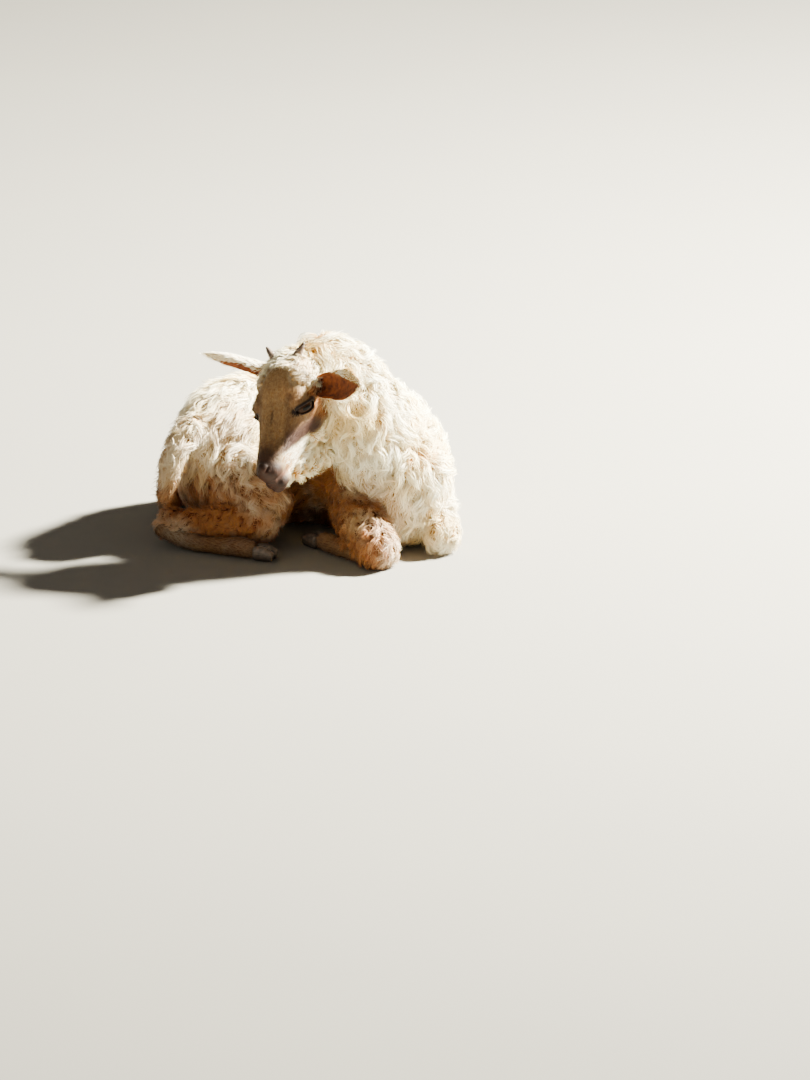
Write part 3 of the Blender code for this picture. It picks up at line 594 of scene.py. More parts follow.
def lid_rims(side):
    """Thin rolls along the edges of the upper and the lower lid."""
    facing = mirrored(EYE_FACING, side).normalized()
    turn = eye_turn(side).to_3x3()
    long, high, _ = EYE_SLIT
    reach = 1.12
    rolls = []
    for way in (1, -1):
        rows = []
        for k in range(13):
            a = 2 * reach * k / 12 - reach
            x = a * long
            z = way * (high + 0.7) * math.sqrt(max(0.0, 1 - (a / reach) ** 2))
            y = math.sqrt(max(1.0, (EYE_RADIUS + 0.9) ** 2 - x * x - z * z))
            at = mirrored(EYE_AT, side) + turn @ Vector((x, y, z))
            thick = 1.5 - 0.5 * abs(a) if way > 0 else 1.25 - 0.4 * abs(a)
            rows.append((*at, thick, thick, thick))
        rolls.append(in_head(tube("rim", rows, (facing, facing), 40, 12)))
    return rolls


def mouth_rows(skull):
    """Sections of the groove between the lips, traced on the muzzle's surface."""
    tree = BVHTree.FromPolygons([tuple(p) for p in points_of(skull.data)],
                                [tuple(f.vertices) for f in skull.data.polygons])
    rows = []
    for k in range(21):
        turn = MOUTH_SPREAD * (k / 10 - 1)
        back = 1 - math.cos(turn)
        inside = Vector((MOUTH_AT[0] - MOUTH_BACK * back, 0, MOUTH_AT[2] - MOUTH_DROP * back)) * 0.001
        out = Vector((math.cos(turn), math.sin(turn), 0))
        start = HEAD_TO_MODEL @ (inside + out * 0.05)
        hit = tree.ray_cast(start, HEAD_TO_MODEL.to_3x3() @ -out)[0]
        thick = 1.1 - 0.4 * abs(turn) / MOUTH_SPREAD
        rows.append((*(hit * 1000), thick, thick, thick))
    return rows


def head_skin():
    """The skin of the head and ears, with lids, sockets, nostrils and lips, as one closed mesh."""
    parts = [in_head(tube("skull", HEAD, UPRIGHT, 60, 64, grow=-0.4, taper=0.38, blunt=0.55))]
    for side in (1, -1):
        for at, radii in (*BULGES, (EYE_AT, (EYE_RADIUS + LID_THICKNESS,) * 3)):
            parts.append(in_head(ball("bulge", mirrored(at, side), radii)))
        for at, radii in JAW_WOOL:
            radii = np.array(radii) - JAW_WOOL_DEPTH
            parts.append(in_head(ball("wool", mirrored(at, side), radii)))
        parts.append(ear(side))
    skull = merged("skull", parts)
    change(skull, "REMESH", mode="VOXEL", voxel_size=HEAD_GRID)
    change(skull, "SMOOTH", factor=0.5, iterations=8)
    crown = HEAD_TO_MODEL.to_3x3() @ Vector((0, 0, 1))
    cutters = [tube("mouth", mouth_rows(skull), (crown, crown), 80, 12)]
    for side in (1, -1):
        for roll in lid_rims(side):
            skull = merged("skull", [skull, roll])
    change(skull, "REMESH", mode="VOXEL", voxel_size=FACE_GRID)
    change(skull, "SMOOTH", factor=0.5, iterations=2)
    for side in (1, -1):
        nostril = ball("nostril", mirrored(NOSTRIL_AT, side), NOSTRIL_SIZE, nostril_turn(side), 24, 16)
        socket = ball("socket", mirrored(EYE_AT, side), (EYE_RADIUS + 0.3,) * 3)
        at = mirrored(EYE_AT, side) + mirrored(EYE_FACING, side).normalized() * EYE_RADIUS
        slit = (EYE_SLIT[0], EYE_SLIT[2], EYE_SLIT[1])
        cutters += [in_head(made) for made in (nostril, socket, ball("opening", at, slit, eye_turn(side)))]
    cut(skull, cutters, "DIFFERENCE")
    change(skull, "REMESH", mode="VOXEL", voxel_size=FACE_GRID)
    return change(skull, "SMOOTH", factor=0.4, iterations=1)


def body_skin():
    """The skin of the trunk, neck, legs and tail as one closed mesh, with softened hollows between them."""
    parts = [tube(name, limb.rows, limb.ups, limb.rings, limb.sides, grow=limb.skin)
             for name, limb in LIMBS.items() if name != "head"]
    body = merged("body", parts)
    change(body, "REMESH", mode="VOXEL", voxel_size=BODY_GRID)
    return change(body, "SMOOTH", factor=0.5, iterations=6)


def add(tree, kind, into=None, **settings):
    """Adds a shader node. into gives a value or another node's output for each of its sockets."""
    made = tree.nodes.new("ShaderNode" + kind)
    for key, value in settings.items():
        setattr(made, key, value)
    for socket, value in (into or {}).items():
        if isinstance(value, bpy.types.NodeSocket):
            tree.links.new(value, made.inputs[socket])
        else:
            made.inputs[socket].default_value = value
    return made


def blank(name, **sockets):
    """A material with a principled shader, and that shader. Plain values go straight to its sockets."""
    made = bpy.data.materials.new(name)
    made.use_nodes = True
    shader = made.node_tree.nodes["Principled BSDF"]
    for socket, value in sockets.items():
        shader.inputs[socket.replace("_", " ")].default_value = value
    return made, made.node_tree, shader


def mixed(tree, share, first, second, way="MIX"):
    """The colour between two colours, by a share."""
    made = add(tree, "Mix", data_type="RGBA", blend_type=way)
    for socket, value in ((made.inputs[0], share), (made.inputs[6], first), (made.inputs[7], second)):
        if isinstance(value, bpy.types.NodeSocket):
            tree.links.new(value, socket)
        else:
            socket.default_value = value if isinstance(value, float) else (*value, 1.0)
    return made.outputs[2]


def times(tree, colour, factor):
    """A colour multiplied by another."""
    return mixed(tree, 1.0, colour, factor, "MULTIPLY")


def noise(tree, size, detail=3.0, stretch=(1, 1, 1)):
    """A soft pattern whose grains are size millimetres across, in the object's own space."""
    where = add(tree, "TexCoord").outputs["Object"]
    squeezed = add(tree, "Mapping", {"Vector": where, "Scale": stretch}).outputs["Vector"]
    made = add(tree, "TexNoise", {"Vector": squeezed, "Scale": 1000.0 / size, "Detail": detail})
    return made.outputs["Fac"]


def stored(tree, name):
    """A number that is stored on the mesh."""
    return add(tree, "Attribute", attribute_name=name).outputs["Fac"]


def ramp(tree, value, low, high):
    """A value from 0 at low to 1 at high."""
    return add(tree, "MapRange", {"Value": value, "From Min": low, "From Max": high}).outputs["Result"]


def scaled(tree, value, factor):
    """A number multiplied by another."""
    return add(tree, "Math", {0: value, 1: factor}, operation="MULTIPLY").outputs[0]


def hair_colour(tree, colours):
    """Coat colour: cream fleece, warmer patches, amber stains and painted shade, and the face's brownish
    short hair.
    """
    patches = ramp(tree, noise(tree, 45, 2.0), 0.45, 0.65)
    fleece = mixed(tree, patches, colours.fleece, colours.fleece_warm)
    # soil stains and painted shade, in amber
    stain_and_shade = scaled(tree, stored(tree, "stain_and_shade"), ramp(tree, noise(tree, 38, 3.0), 0.0, 0.50))
    fleece = mixed(tree, stain_and_shade, fleece, colours.stain_and_shade)
    streaks = ramp(tree, noise(tree, 2.5, 4.0), 0.30, 0.75)
    face = mixed(tree, streaks, colours.face, colours.face_light)
    return mixed(tree, stored(tree, "face"), fleece, face)


def fleece_material(colours):
    """Raw cashmere fleece, washed by rain. Waxy fibre gives a soft, broad gloss and a pale edge glow."""
    made, tree, shader = blank("raw_cashmere_fleece", Roughness=0.62, IOR=1.55, Sheen_Weight=0.12,
                               Sheen_Roughness=0.45, Specular_IOR_Level=0.35)
    colour = hair_colour(tree, colours)
    # darker towards the roots: painted shade down in the coat
    along = ramp(tree, stored(tree, "along"), 0.0, 0.45)
    colour = mixed(tree, along, times(tree, colour, colours.root), colour)
    # random tone for each lock, darker for strands deep in a lock: painted shade
    tone = ramp(tree, stored(tree, "tone"), -0.6, 1.0)
    colour = mixed(tree, tone, times(tree, colour, colours.dull_and_shade), colour)
    tree.links.new(colour, shader.inputs["Base Color"])
    return made


def skin_material(colours):
    """Skin under short smooth hair, with bare leathery skin on the nose, lips, lids and in the ears."""
    made, tree, shader = blank("short_haired_kid_skin", IOR=1.45, Specular_IOR_Level=0.25)
    colour = hair_colour(tree, colours)
    # painted shade: the skin under the fleece is darkened
    colour = mixed(tree, stored(tree, "face"), times(tree, colour, colours.under_fleece_shade), colour)
    fine = noise(tree, 1.3, 4.0, (1, 1, 0.35))
    colour = mixed(tree, ramp(tree, fine, 0.35, 0.7), times(tree, colour, colours.dull_and_shade), colour)
    # dark muzzle hair, painted shadow on the face's sides, and darker feet partly from painted shade
    colour = mixed(tree, stored(tree, "dark_hair_and_shade"), colour, colours.nose_hair_and_shadow)
    bare = mixed(tree, ramp(tree, noise(tree, 5, 3.0), 0.35, 0.7), colours.skin, colours.skin_dark)
    colour = mixed(tree, stored(tree, "bare"), colour, bare)
    colour = mixed(tree, stored(tree, "rim"), colour, colours.rim)
    tree.links.new(colour, shader.inputs["Base Color"])
    rough = add(tree, "MapRange", {"Value": stored(tree, "rim"), "To Min": 0.75, "To Max": 0.55})
    tree.links.new(rough.outputs["Result"], shader.inputs["Roughness"])
    # hairs of 0.1 mm are too fine to show, so the bump is drawn as 1 mm wisps
    bump = add(tree, "Bump", {"Height": fine, "Distance": 0.0006, "Strength": 0.6})
    tree.links.new(bump.outputs["Normal"], shader.inputs["Normal"])
    return made


def hair_material(colours):
    """Short guard hair of the face, ears and feet. It has the skin's markings."""
    made, tree, shader = blank("short_guard_hair", Roughness=0.6, IOR=1.55, Specular_IOR_Level=0.2)
    colour = hair_colour(tree, colours)
    # dark muzzle hair, painted shadow on the face's sides, and darker feet partly from painted shade
    colour = mixed(tree, stored(tree, "dark_hair_and_shade"), colour, colours.nose_hair_and_shadow)
    colour = mixed(tree, stored(tree, "rim"), colour, colours.rim)
    # darker towards the roots: painted shade down in the coat
    along = ramp(tree, stored(tree, "along"), -0.6, 0.7)
    colour = mixed(tree, along, times(tree, colour, colours.root), colour)
    tree.links.new(colour, shader.inputs["Base Color"])
    return made


def eye_material(colours):
    """A wet cornea over a dark amber iris with a level, slot-shaped pupil. It gives small sharp lights."""
    made, tree, shader = blank("wet_amber_eye", Roughness=0.45, IOR=1.38, Specular_IOR_Level=0.05,
                               Coat_Weight=0.15, Coat_Roughness=0.03)
    streaks = ramp(tree, noise(tree, 1.2, 3.0), 0.35, 0.7)
    iris = mixed(tree, streaks, colours.iris, colours.iris_dark)
    colour = mixed(tree, ramp(tree, stored(tree, "off_axis"), 7.2, 8.4), iris, colours.rim)
    colour = mixed(tree, ramp(tree, stored(tree, "pupil"), 1.15, 0.9), colour, colours.pupil)
    tree.links.new(colour, shader.inputs["Base Color"])
    return made


def horn_material(name, dark, light, rings):
    """Keratin, grown in thin rings. It is matt and greyish, and paler where it is worn."""
    made, tree, shader = blank(name, Roughness=0.48, IOR=1.55, Coat_Weight=0.1, Coat_Roughness=0.4)
    wear = ramp(tree, noise(tree, 4, 4.0), 0.35, 0.7)
    rise = stored(tree, "rise")
    wave = add(tree, "Math", {0: scaled(tree, rise, rings)}, operation="SINE").outputs[0]
    bands = ramp(tree, wave, -1.0, 1.0)
    colour = mixed(tree, wear, dark, light)
    colour = mixed(tree, scaled(tree, bands, 0.25), colour, light)
    colour = mixed(tree, ramp(tree, rise, 0.55, 1.0), colour, dark)
    tree.links.new(colour, shader.inputs["Base Color"])
    bump = add(tree, "Bump", {"Height": bands, "Distance": 0.0003, "Strength": 0.7})
    tree.links.new(bump.outputs["Normal"], shader.inputs["Normal"])
    return made


def wool_edge(y):
    """How far from the nape the crown's wool reaches down the face, in mm. It hangs lower on the temples."""
    return 28 + 20 * smooth(5, 18, np.abs(y))


def temple(x, y, z):
    """How far a point of the head lies below the line from the brow to the top of the ear, in mm."""
    return 0.35 * x + 0.5 * np.abs(y) - 0.79 * z - 14


def body_stain_and_shade(points, feet):
    """Soil stains and painted shade on the body's fleece, from 0 to 1. It is strongest low on the right side.
    """
    x, y, z = points.T
    # painted shade under the head and low on the body, where it joins soil stains near the ground
    under_chest = far_from(points, (-0.005, -0.080, 0.050), (0.070, 0.070, 0.060))
    stain_and_shade = np.maximum(smooth(0.115, 0.050, z), smooth(1.2, 0.7, under_chest))
    # the lit chest and shoulder get little of the stain and painted shade, and most of the left side less
    stain_and_shade = stain_and_shade * (1 - 0.9 * smooth(0.045, 0.095, x)) * (1 - 0.2 * feet)
    stain_and_shade = stain_and_shade * (0.4 + 0.6 * smooth(0.040, -0.020, y))
    # painted shade at the far end of the rump
    stain_and_shade = np.maximum(stain_and_shade, 0.5 * smooth(-0.085, -0.125, x) * smooth(0.155, 0.095, z))
    for middle, sizes, full, strength in STAIN_AND_SHADE_PATCHES:
        stain_and_shade = np.maximum(stain_and_shade, strength * smooth(*full, far_from(points, middle, sizes)))
    return stain_and_shade


def ear_cup(points, normals, region):
    """The bare inside of the ears, from 0 to 1."""
    cup = np.zeros(len(points))
    for word, side in SIDES:
        out = moved(HEAD_TO_MODEL, np.array(mirrored(EAR_OPENING[side], side))[None], 0.0)[0]
        share, _, across = ear_place(side, points)
        edge, slope = EAR_PAINTED_LIGHT[side]
        # white hair, painted light for the ear's sunlit back, covers the upper cup, more of it towards the
        # tip
        white = smooth(-0.12, 0.12, edge + slope * share - across)
        inside = smooth(1.0, 0.92, share) * smooth(1.0, 0.86, np.abs(across)) * (1 - white)
        cup = np.maximum(cup, on(region, "ear_" + word) * smooth(0.05, 0.35, normals @ out) * inside)
    return cup


def marks(points, normals, region):
    """The kid's markings at points of its skin, from 0 to 1. Skin and coat share them."""
    here = moved(MODEL_TO_HEAD, points) * 1000
    x, y, z = here.T
    aside = np.abs(y)
    ears = on(region, "ear")
    head = on(region, "head") | ears
    feet = on(region, "hind_foot", "fore_foot")
    # the jaw and lower half of the muzzle's sides are white up to a slanting line; above it lies painted
    # shadow
    below_shadow_edge = 0.4 * x - 45 - z
    white = smooth(-3, 4, below_shadow_edge) * smooth(130, 118, x)
    in_painted_shadow = 1 - white
    brow_edge = wool_edge(y)
    face = np.where(ears, 0.1, smooth(brow_edge - 14, brow_edge + 10, x) * in_painted_shadow) * head
    face = np.maximum(face, 0.45 * feet)

    # bare skin: the nose, the lips and the ear cups
    ahead = x + 0.15 * aside - 0.1 * z
    from_mouth = np.abs(z - (MOUTH_AT[2] - 3))
    lips = 0.6 * smooth(4.5, 1.5, from_mouth) * smooth(112, 124, x)
    bare = np.maximum(0.75 * smooth(130, 139, ahead), lips) * head
    bare = np.maximum(bare, ear_cup(points, normals, region))

    # nearly black: nose, muzzle's tip, a painted shadow band above the white, a streak on the bridge, mouth,
    # groove
    rim = np.maximum(0.9 * smooth(124, 134, ahead), 0.42 * smooth(112, 122, x))
    shadow_band = smooth(-18, -9, below_shadow_edge) * smooth(7, 12, aside) * smooth(48, 62, x) * smooth(130, 118, x)
    rim = np.maximum(rim, 0.42 * shadow_band * in_painted_shadow * ~ears)
    streak = smooth(1.1, 0.5, np.hypot((x - 84) / 9, (y - 1) / 2.2)) * (z > 0)
    groove = smooth(1.3, 0.4, aside) * smooth(132, 136, x) * smooth(-12, -8, z) * (z < 3)
    mouth = smooth(1.6, 0.5, from_mouth) * smooth(104, 114, x)
    rim = np.maximum(rim, np.maximum(0.6 * streak, 0.7 * np.maximum(groove, mouth))) * head
    brow = np.zeros(len(points))
    for _, side in SIDES:
        # lids
        local = (here - np.array(mirrored(EYE_AT, side))) @ np.array(eye_turn(side))[:3, :3]
        high = np.where(local[:, 2] > 0, 7.2, 5.2)
        lids = smooth(1.12, 0.85, np.hypot(local[:, 0] / 18.0, local[:, 2] / high)) * (local[:, 1] > 0)
        # nostrils
        local = (here - np.array(mirrored(NOSTRIL_AT, side))) @ np.array(nostril_turn(side))[:3, :3]
        hole = 0.9 * smooth(1.35, 0.95, far_from(local, (0, 0, 0), NOSTRIL_SIZE))
        rim = np.maximum(rim, np.maximum(lids, hole))
        # painted shadow: amber brown between the eye and the ear, where the ear's shadow falls
        patch = far_from(here, mirrored((42, 29, 1), side), (30, 16, 24))
        brow = np.maximum(brow, smooth(1.15, 0.75, patch) * smooth(-1, 4, temple(x, y, z)))

    # dark brown: muzzle hair, partly painted shade; painted shadow on the face's sides; feet, dirt and
    # painted shade
    dark_hair_and_shade = np.maximum(smooth(92, 128, x) * head * 0.9 * in_painted_shadow, 0.5 * feet)
    sides = smooth(10, 16, aside) * smooth(46, 66, x) * (0.55 + 0.45 * smooth(-24, -10, below_shadow_edge))
    dark_hair_and_shade = np.maximum(dark_hair_and_shade, sides * in_painted_shadow * head * ~ears)
    dark_hair_and_shade = np.maximum(dark_hair_and_shade, 0.15 * smooth(30, 6, aside) * smooth(50, 100, x) * head * (z > -20))

    crown = smooth(1.2, 0.6, far_from(here, (26, 18, 28), (22, 12, 14)))
    # amber: painted shadow between the eye and the ear, and an amber patch on the crown
    amber = np.maximum(brow * in_painted_shadow, 0.4 * crown) * head * ~ears
    stain_and_shade = np.maximum(body_stain_and_shade(points, feet) * ~head, amber)
    return {"face": face * (1 - 0.75 * amber), "bare": bare, "rim": rim, "dark_hair_and_shade": dark_hair_and_shade, "stain_and_shade": stain_and_shade}


def surface(skin):
    """Triangle corners, normals, areas and a search tree of the skin."""
    mesh = skin.data
    points = points_of(mesh)
    corners = triangles_of(mesh)
    first, second, third = points[corners.T]
    cross = np.cross(second - first, third - first)
    tree = BVHTree.FromPolygons(points.tolist(), corners.tolist())
    return points, corners, unit(cross), np.linalg.norm(cross, axis=1) / 2, tree


def scattered(shape, wanted, chance):
    """Evenly random points of the surface, with their normals."""
    points, corners, normals, areas, _ = shape
    pick = chance.choice(len(areas), size=wanted, p=areas / areas.sum())
    a, b = chance.random((2, wanted, 1))
    flip = a + b > 1
    a, b = np.where(flip, 1 - a, a), np.where(flip, 1 - b, b)
    first, second, third = (points[corners[pick, i]] for i in range(3))
    return first + (second - first) * a + (third - first) * b, normals[pick]


def spaced(points, apart):
    """Numbers of the points that are kept so that none is nearer than apart to another."""
    cells = {}
    kept = []
    keys = np.floor(points / apart[:, None]).astype(int)
    for i, (key, here, room) in enumerate(zip(keys.tolist(), points.tolist(), apart.tolist())):
        around = (cells.get((key[0] + dx, key[1] + dy, key[2] + dz, room), ()) for dx, dy, dz in AROUND)
        if not any(math.dist(here, other) < room for cell in around for other in cell):
            kept.append(i)
            cells.setdefault((*key, room), []).append(here)
    return np.array(kept)


def flow_at(points, normals, region, droop):
    """The way that the hair lies at points of the skin: along the limb, with a little droop."""
    flow = np.zeros((len(points), 3))
    for i, name in enumerate(REGIONS):
        mine = np.nonzero(region == i)[0]
        if len(mine) == 0:
            continue
        if name.startswith("ear"):
            side = dict(SIDES)[name[4:]]
            along = np.array(mirrored(EAR_AHEAD[side], side).normalized())[None]
            flow[mine] = moved(HEAD_TO_MODEL, along, 0.0)
            continue
        limb = LIMBS[name]
        t = np.clip(place(name, points[mine])[0], 0, len(limb.rows) - 1)
        ahead = sections(limb.rows, limb.ups, t)[1]
        if name == "head":
            # the wool of the crown falls forward over the brow
            here = moved(MODEL_TO_HEAD, points[mine]) * 1000
            ahead = ahead * np.where((here[:, 0] < 34) & (here[:, 2] > 4), -1, 1)[:, None]
            ahead = moved(HEAD_TO_MODEL, ahead, 0.0)
        # over a limb's blunt end the hair just hangs
        end = np.abs(dot(normals[mine], ahead)) ** 2
        flow[mine] = ahead * limb.flow * (1 - end) - np.array((0, 0, 1.0)) * end
    legs = on(region, "forearm", "shank")
    flow = flow + np.array((0, 0, -1.0)) * (droop + 0.9 * legs)[:, None]
    return unit(flow - normals * dot(flow, normals))


def ribbons(name, spine, across, width, along, uv, extra, material):
    """Thin flat strands as one mesh. spine is strands by points by xyz, and each strand ends in one point."""
    strands, count = spine.shape[:2]
    side = across * width[..., None] * 0.5
    pairs = np.stack((spine[:, :-1] - side[:, :-1], spine[:, :-1] + side[:, :-1]), axis=2)
    points = np.concatenate((pairs.reshape(strands, -1, 3), spine[:, -1:]), axis=1)
    size = points.shape[1]
    k = np.arange(count - 2)
    strip = np.concatenate([np.stack((2 * k, 2 * k + 1, 2 * k + 3), 1),
                            np.stack((2 * k, 2 * k + 3, 2 * k + 2), 1), [[size - 3, size - 2, size - 1]]])
    faces = (np.arange(strands)[:, None, None] * size + strip[None]).reshape(-1, 3)
    made = mesh_object(name, points.reshape(-1, 3), faces)
    step = np.concatenate((np.repeat(along[:-1], 2), along[-1:]))
    mark(made.data, "along", np.tile(step, strands))
    for key, values in extra.items():
        mark(made.data, key, np.repeat(values, size))
    sheet = np.empty((strands, size, 2))
    sheet[..., 0] = uv[:, 0, None]
    sheet[..., 1] = uv[:, 1, None] + (step - 0.5)[None] * 2 * PATCH
    layer = made.data.uv_layers.new(name="OFBake")
    layer.data.foreach_set("uv", sheet.reshape(-1, 2)[faces.ravel()].astype(np.float32).ravel())
    made.data.materials.append(material)
    return made


def followed(tree, roots, normals, region, long, turns):
    """Middle lines of locks that follow the skin, with the ways out of it and along it at each point."""
    spine = np.empty((len(roots), len(turns), 3))
    outs, ways = np.empty_like(spine), np.empty_like(spine)
    at, out = roots.copy(), normals.copy()
    for s, turn in enumerate(turns):
        spine[:, s], outs[:, s] = at, out
        flow = flow_at(at, out, region, 0.35)
        flow = flow * np.cos(turn)[:, None] + np.cross(out, flow) * np.sin(turn)[:, None]
        ways[:, s] = flow
        ahead = at + flow * (long / LOCK_STEPS)[:, None]
        for i, point in enumerate(ahead):
            at[i], out[i] = tree.find_nearest(Vector(point))[:2]
        out = unit(out + outs[:, s])
    return spine, outs, ways


def fleece(shape, sizes, material):
    """Locks of wavy strands on the fleeced limbs. A lock is a leaf-shaped bunch that follows the skin."""
    chance = np.random.default_rng(SEED)
    roots, normals = scattered(shape, LOCK_TRIES, chance)
    region = region_of(roots)
    x, y, z = (moved(MODEL_TO_HEAD, roots) * 1000).T
    crown = on(region, "head") & (x < wool_edge(y)) & (z > 8) & (temple(x, y, z) < 0)
    jaw = on(region, "head") & (z + 0.06 * (x - 60) < -27) & (x > 22) & (x < 114)
    throat = on(region, "head") & (x < 30) & (z < 30 - x)
    keep = (on(region, *FLEECED) | crown | jaw | throat) & (roots[:, 2] > 0.003)
    roots, normals, region, crown, jaw = roots[keep], normals[keep], region[keep], crown[keep], jaw[keep]
    table = np.array([(limb.long, limb.wide, limb.lift) for limb in LIMBS.values()])
    table[REGIONS.index("head")] = table[REGIONS.index("neck")]
    table = table[region]
    table[crown] = (13, 5.0, 3.2)
    table[jaw] = (14, 5.5, 4.4)
    kept = spaced(roots, table[:, 1] * sizes.spacing * 0.001)
    roots, normals, region, table = roots[kept], normals[kept], region[kept], table[kept]
    long, wide, lift = (table * 0.001).T
    count = len(roots)
    trunk = on(region, "trunk")
    along_trunk = np.where(trunk, place("trunk", roots)[0], len(TRUNK))
    soft = smooth(3.4, 1.8, along_trunk)
    long = long * sizes.length * chance.uniform(0.75, 1.2, count)
    wide = wide * chance.uniform(0.85, 1.25, count)
    swirl = chance.normal(0, 1, count) * (0.42 - 0.20 * soft)
    wave = chance.uniform(0.35, 1.1, count) * chance.choice((-1, 1), count) * (1 - 0.5 * soft)
    phase = chance.uniform(0, 2 * math.pi, count)
    share = np.linspace(0, 1, LOCK_STEPS + 1)
    turns = swirl + wave * np.sin(phase + share[:, None] * 4.6)
    spine, outs, ways = followed(shape[4], roots, normals, region, long, turns)
    # the lock rises from its root, lies on the ones below it and lets its tip curl up or down
    curl = chance.uniform(-0.3, 0.45, count)
    rise = np.sin(np.minimum(share * 1.7, 1) * math.pi / 2)[None]
    rise = rise + curl[:, None] * np.maximum(share - 0.6, 0) * 2.5
    high = lift * chance.uniform(0.6, 1.08, count)
    top = spine + outs * (0.0006 + high[:, None] * rise)[..., None]
    # a lock is widest a third of the way along, and pointed
    leaf = np.sin(math.pi * (0.20 + 0.80 * share)) ** 0.6
    strands = sizes.strands
    c = np.clip(chance.normal(0, 0.5, (count, strands)), -1.25, 1.25)
    depth = chance.uniform(0.0, 1.0, (count, strands))
    across = np.cross(ways, outs)
    lateral = c[..., None] * (wide / 2)[:, None, None] * leaf[None, None]
    crimp = np.sin(share[None, None] * 11 + chance.uniform(0, 6.28, (count, strands, 1)))
    lateral = lateral + crimp * 0.0007 * share[None, None]
    dome = (0.24 * wide * (1 - 0.4 * soft))[:, None, None] * np.maximum(1 - c[..., None] ** 2, 0)
    dome = dome * leaf[None, None]
    sunk = (depth[..., None] - 1) * 0.6 * lift[:, None, None] * np.sin(math.pi * share)[None, None]
    stray = chance.normal(0, 0.0018, (count, strands, 3))[:, :, None] * (share ** 2)[None, None, :, None]
    short = chance.uniform(0.65, 1.12, (count, strands, 1))
    # a strand ends before or past the lock's own tip, so that the tip is soft
    steps = np.clip(share[None, None] * short, 0, 1) * LOCK_STEPS
    low = np.minimum(steps.astype(int), LOCK_STEPS - 1)
    part = (steps - low)[..., None]
    row = np.arange(count)[:, None, None]
    line = top[row, low] * (1 - part) + top[row, low + 1] * part
    side = unit(across[row, low] * (1 - part) + across[row, low + 1] * part)
    up = outs[row, low] * (1 - part) + outs[row, low + 1] * part
    hairs = line + side * lateral[..., None] + up * (dome * depth[..., None] + sunk)[..., None] + stray
    hairs[..., 2] = np.maximum(hairs[..., 2], 0.0006)
    tilt = chance.normal(0, 0.45, (count, strands, 1, 1)) - c[..., None, None] * 0.6
    side = unit(side * np.cos(tilt) + up * np.sin(tilt))
    thick = chance.uniform(0.75, 1.25, (count, strands, 1)) * sizes.strand_width * 0.001
    width = thick * (1 - 0.25 * share - 0.55 * share ** 3)[None, None]
    uv = unwrapped(roots, region)[:, None] + np.stack((c * PATCH * 0.7, np.zeros_like(c)), axis=-1)
    # a random tone for each lock, and painted shade: deep strands are darker than those on a lock's back
    tone = chance.uniform(0, 1, count)[:, None] * 0.45 + 0.55 * depth
    signs = marks(roots, normals, region)
    made = []
    limit = PIECE_LIMIT // ((2 * LOCK_STEPS - 1) * strands)
    for title, mine in (("rump", trunk & (along_trunk < 3)), ("chest", trunk & (along_trunk >= 3)),
                        ("neck", on(region, "neck", "head")), ("thighs", on(region, "thigh")),
                        ("tail", on(region, "tail")), ("legs", on(region, "shank", "forearm"))):
        chosen = np.nonzero(mine)[0]
        chosen = chosen[np.argsort(along_trunk[chosen], kind="stable")]
        for n, start in enumerate(range(0, len(chosen), limit)):
            some = chosen[start:start + limit]
            extra = {"tone": tone[some].ravel()}
            for key in ("stain_and_shade", "face"):
                extra[key] = np.repeat(signs[key][some], strands)
            size = len(some) * strands
            made.append(ribbons("fleece_%s_%d" % (title, n), hairs[some].reshape(size, -1, 3),
                                side[some].reshape(size, -1, 3), width[some].reshape(size, -1), share,
                                uv[some].reshape(size, 2), extra, material))
    return made


def single_hairs(title, roots, normals, region, long, lift, width, crimp, droop, signs, material, chance):
    """Loose hairs that lean over from their roots, in pieces that keep to the limit."""
    count = len(roots)
    flow = flow_at(roots, normals, region, droop)
    turn = chance.normal(0, 0.22 + 0.5 * (crimp > 0), (count, 1))
    flow = flow * np.cos(turn) + np.cross(normals, flow) * np.sin(turn)
    share = np.linspace(0, 1, HAIR_STEPS + 1)
    bend = share[None, :, None]
    across = np.cross(flow, normals)[:, None]
    spine = roots[:, None] + flow[:, None] * (long[:, None, None] * bend)
    rise = (long * lift)[:, None, None] * (bend * 1.4 - 0.6 * bend ** 2)
    spine = spine + normals[:, None] * (rise - 0.0001)
    spine = spine + across * (crimp * np.sin(bend * 5 + chance.uniform(0, 6.28, (count, 1, 1))) * bend)
    spine[..., 2] = np.maximum(spine[..., 2], 0.0003)
    across = np.repeat(across, HAIR_STEPS + 1, axis=1)
    wide = (width * chance.uniform(0.75, 1.25, count) * 0.001)[:, None] * (1 - 0.5 * share ** 2)[None]
    uv = unwrapped(roots, region)
    made = []
    limit = PIECE_LIMIT // (2 * HAIR_STEPS - 1)
    for n, start in enumerate(range(0, count, limit)):
        part = slice(start, start + limit)
        extra = {key: values[part] for key, values in signs.items()}
        made.append(ribbons("%s_%d" % (title, n), spine[part], across[part], wide[part], share, uv[part],
                            extra, material))
    return made


def underwool(shape, sizes, material):
    """Loose crimped wool that fills the gaps between the locks."""
    chance = np.random.default_rng(SEED + 2)
    roots, normals = scattered(shape, WOOL_HAIRS, chance)
    region = region_of(roots)
    nape = on(region, "head") & (moved(MODEL_TO_HEAD, roots)[:, 0] < 0.026)
    keep = (on(region, *FLEECED) | nape) & (roots[:, 2] > 0.003)
    roots, normals, region = roots[keep], normals[keep], region[keep]
    table = np.array([(limb.long, limb.lift) for limb in LIMBS.values()])
    table[REGIONS.index("head")] = (13, 3.6)
    long, lift = (table[region] * 0.001).T
    long = long * 0.55 * chance.uniform(0.7, 1.3, len(roots))
    lift = np.minimum(lift * 0.75 / long, 0.8)
    signs = marks(roots, normals, region)
    signs = {"stain_and_shade": signs["stain_and_shade"], "face": signs["face"], "tone": chance.uniform(0, 0.5, len(roots))}
    return single_hairs("underwool", roots, normals, region, long, lift, 0.9 * sizes.strand_width, 0.0012,
                        0.3, signs, material, chance)


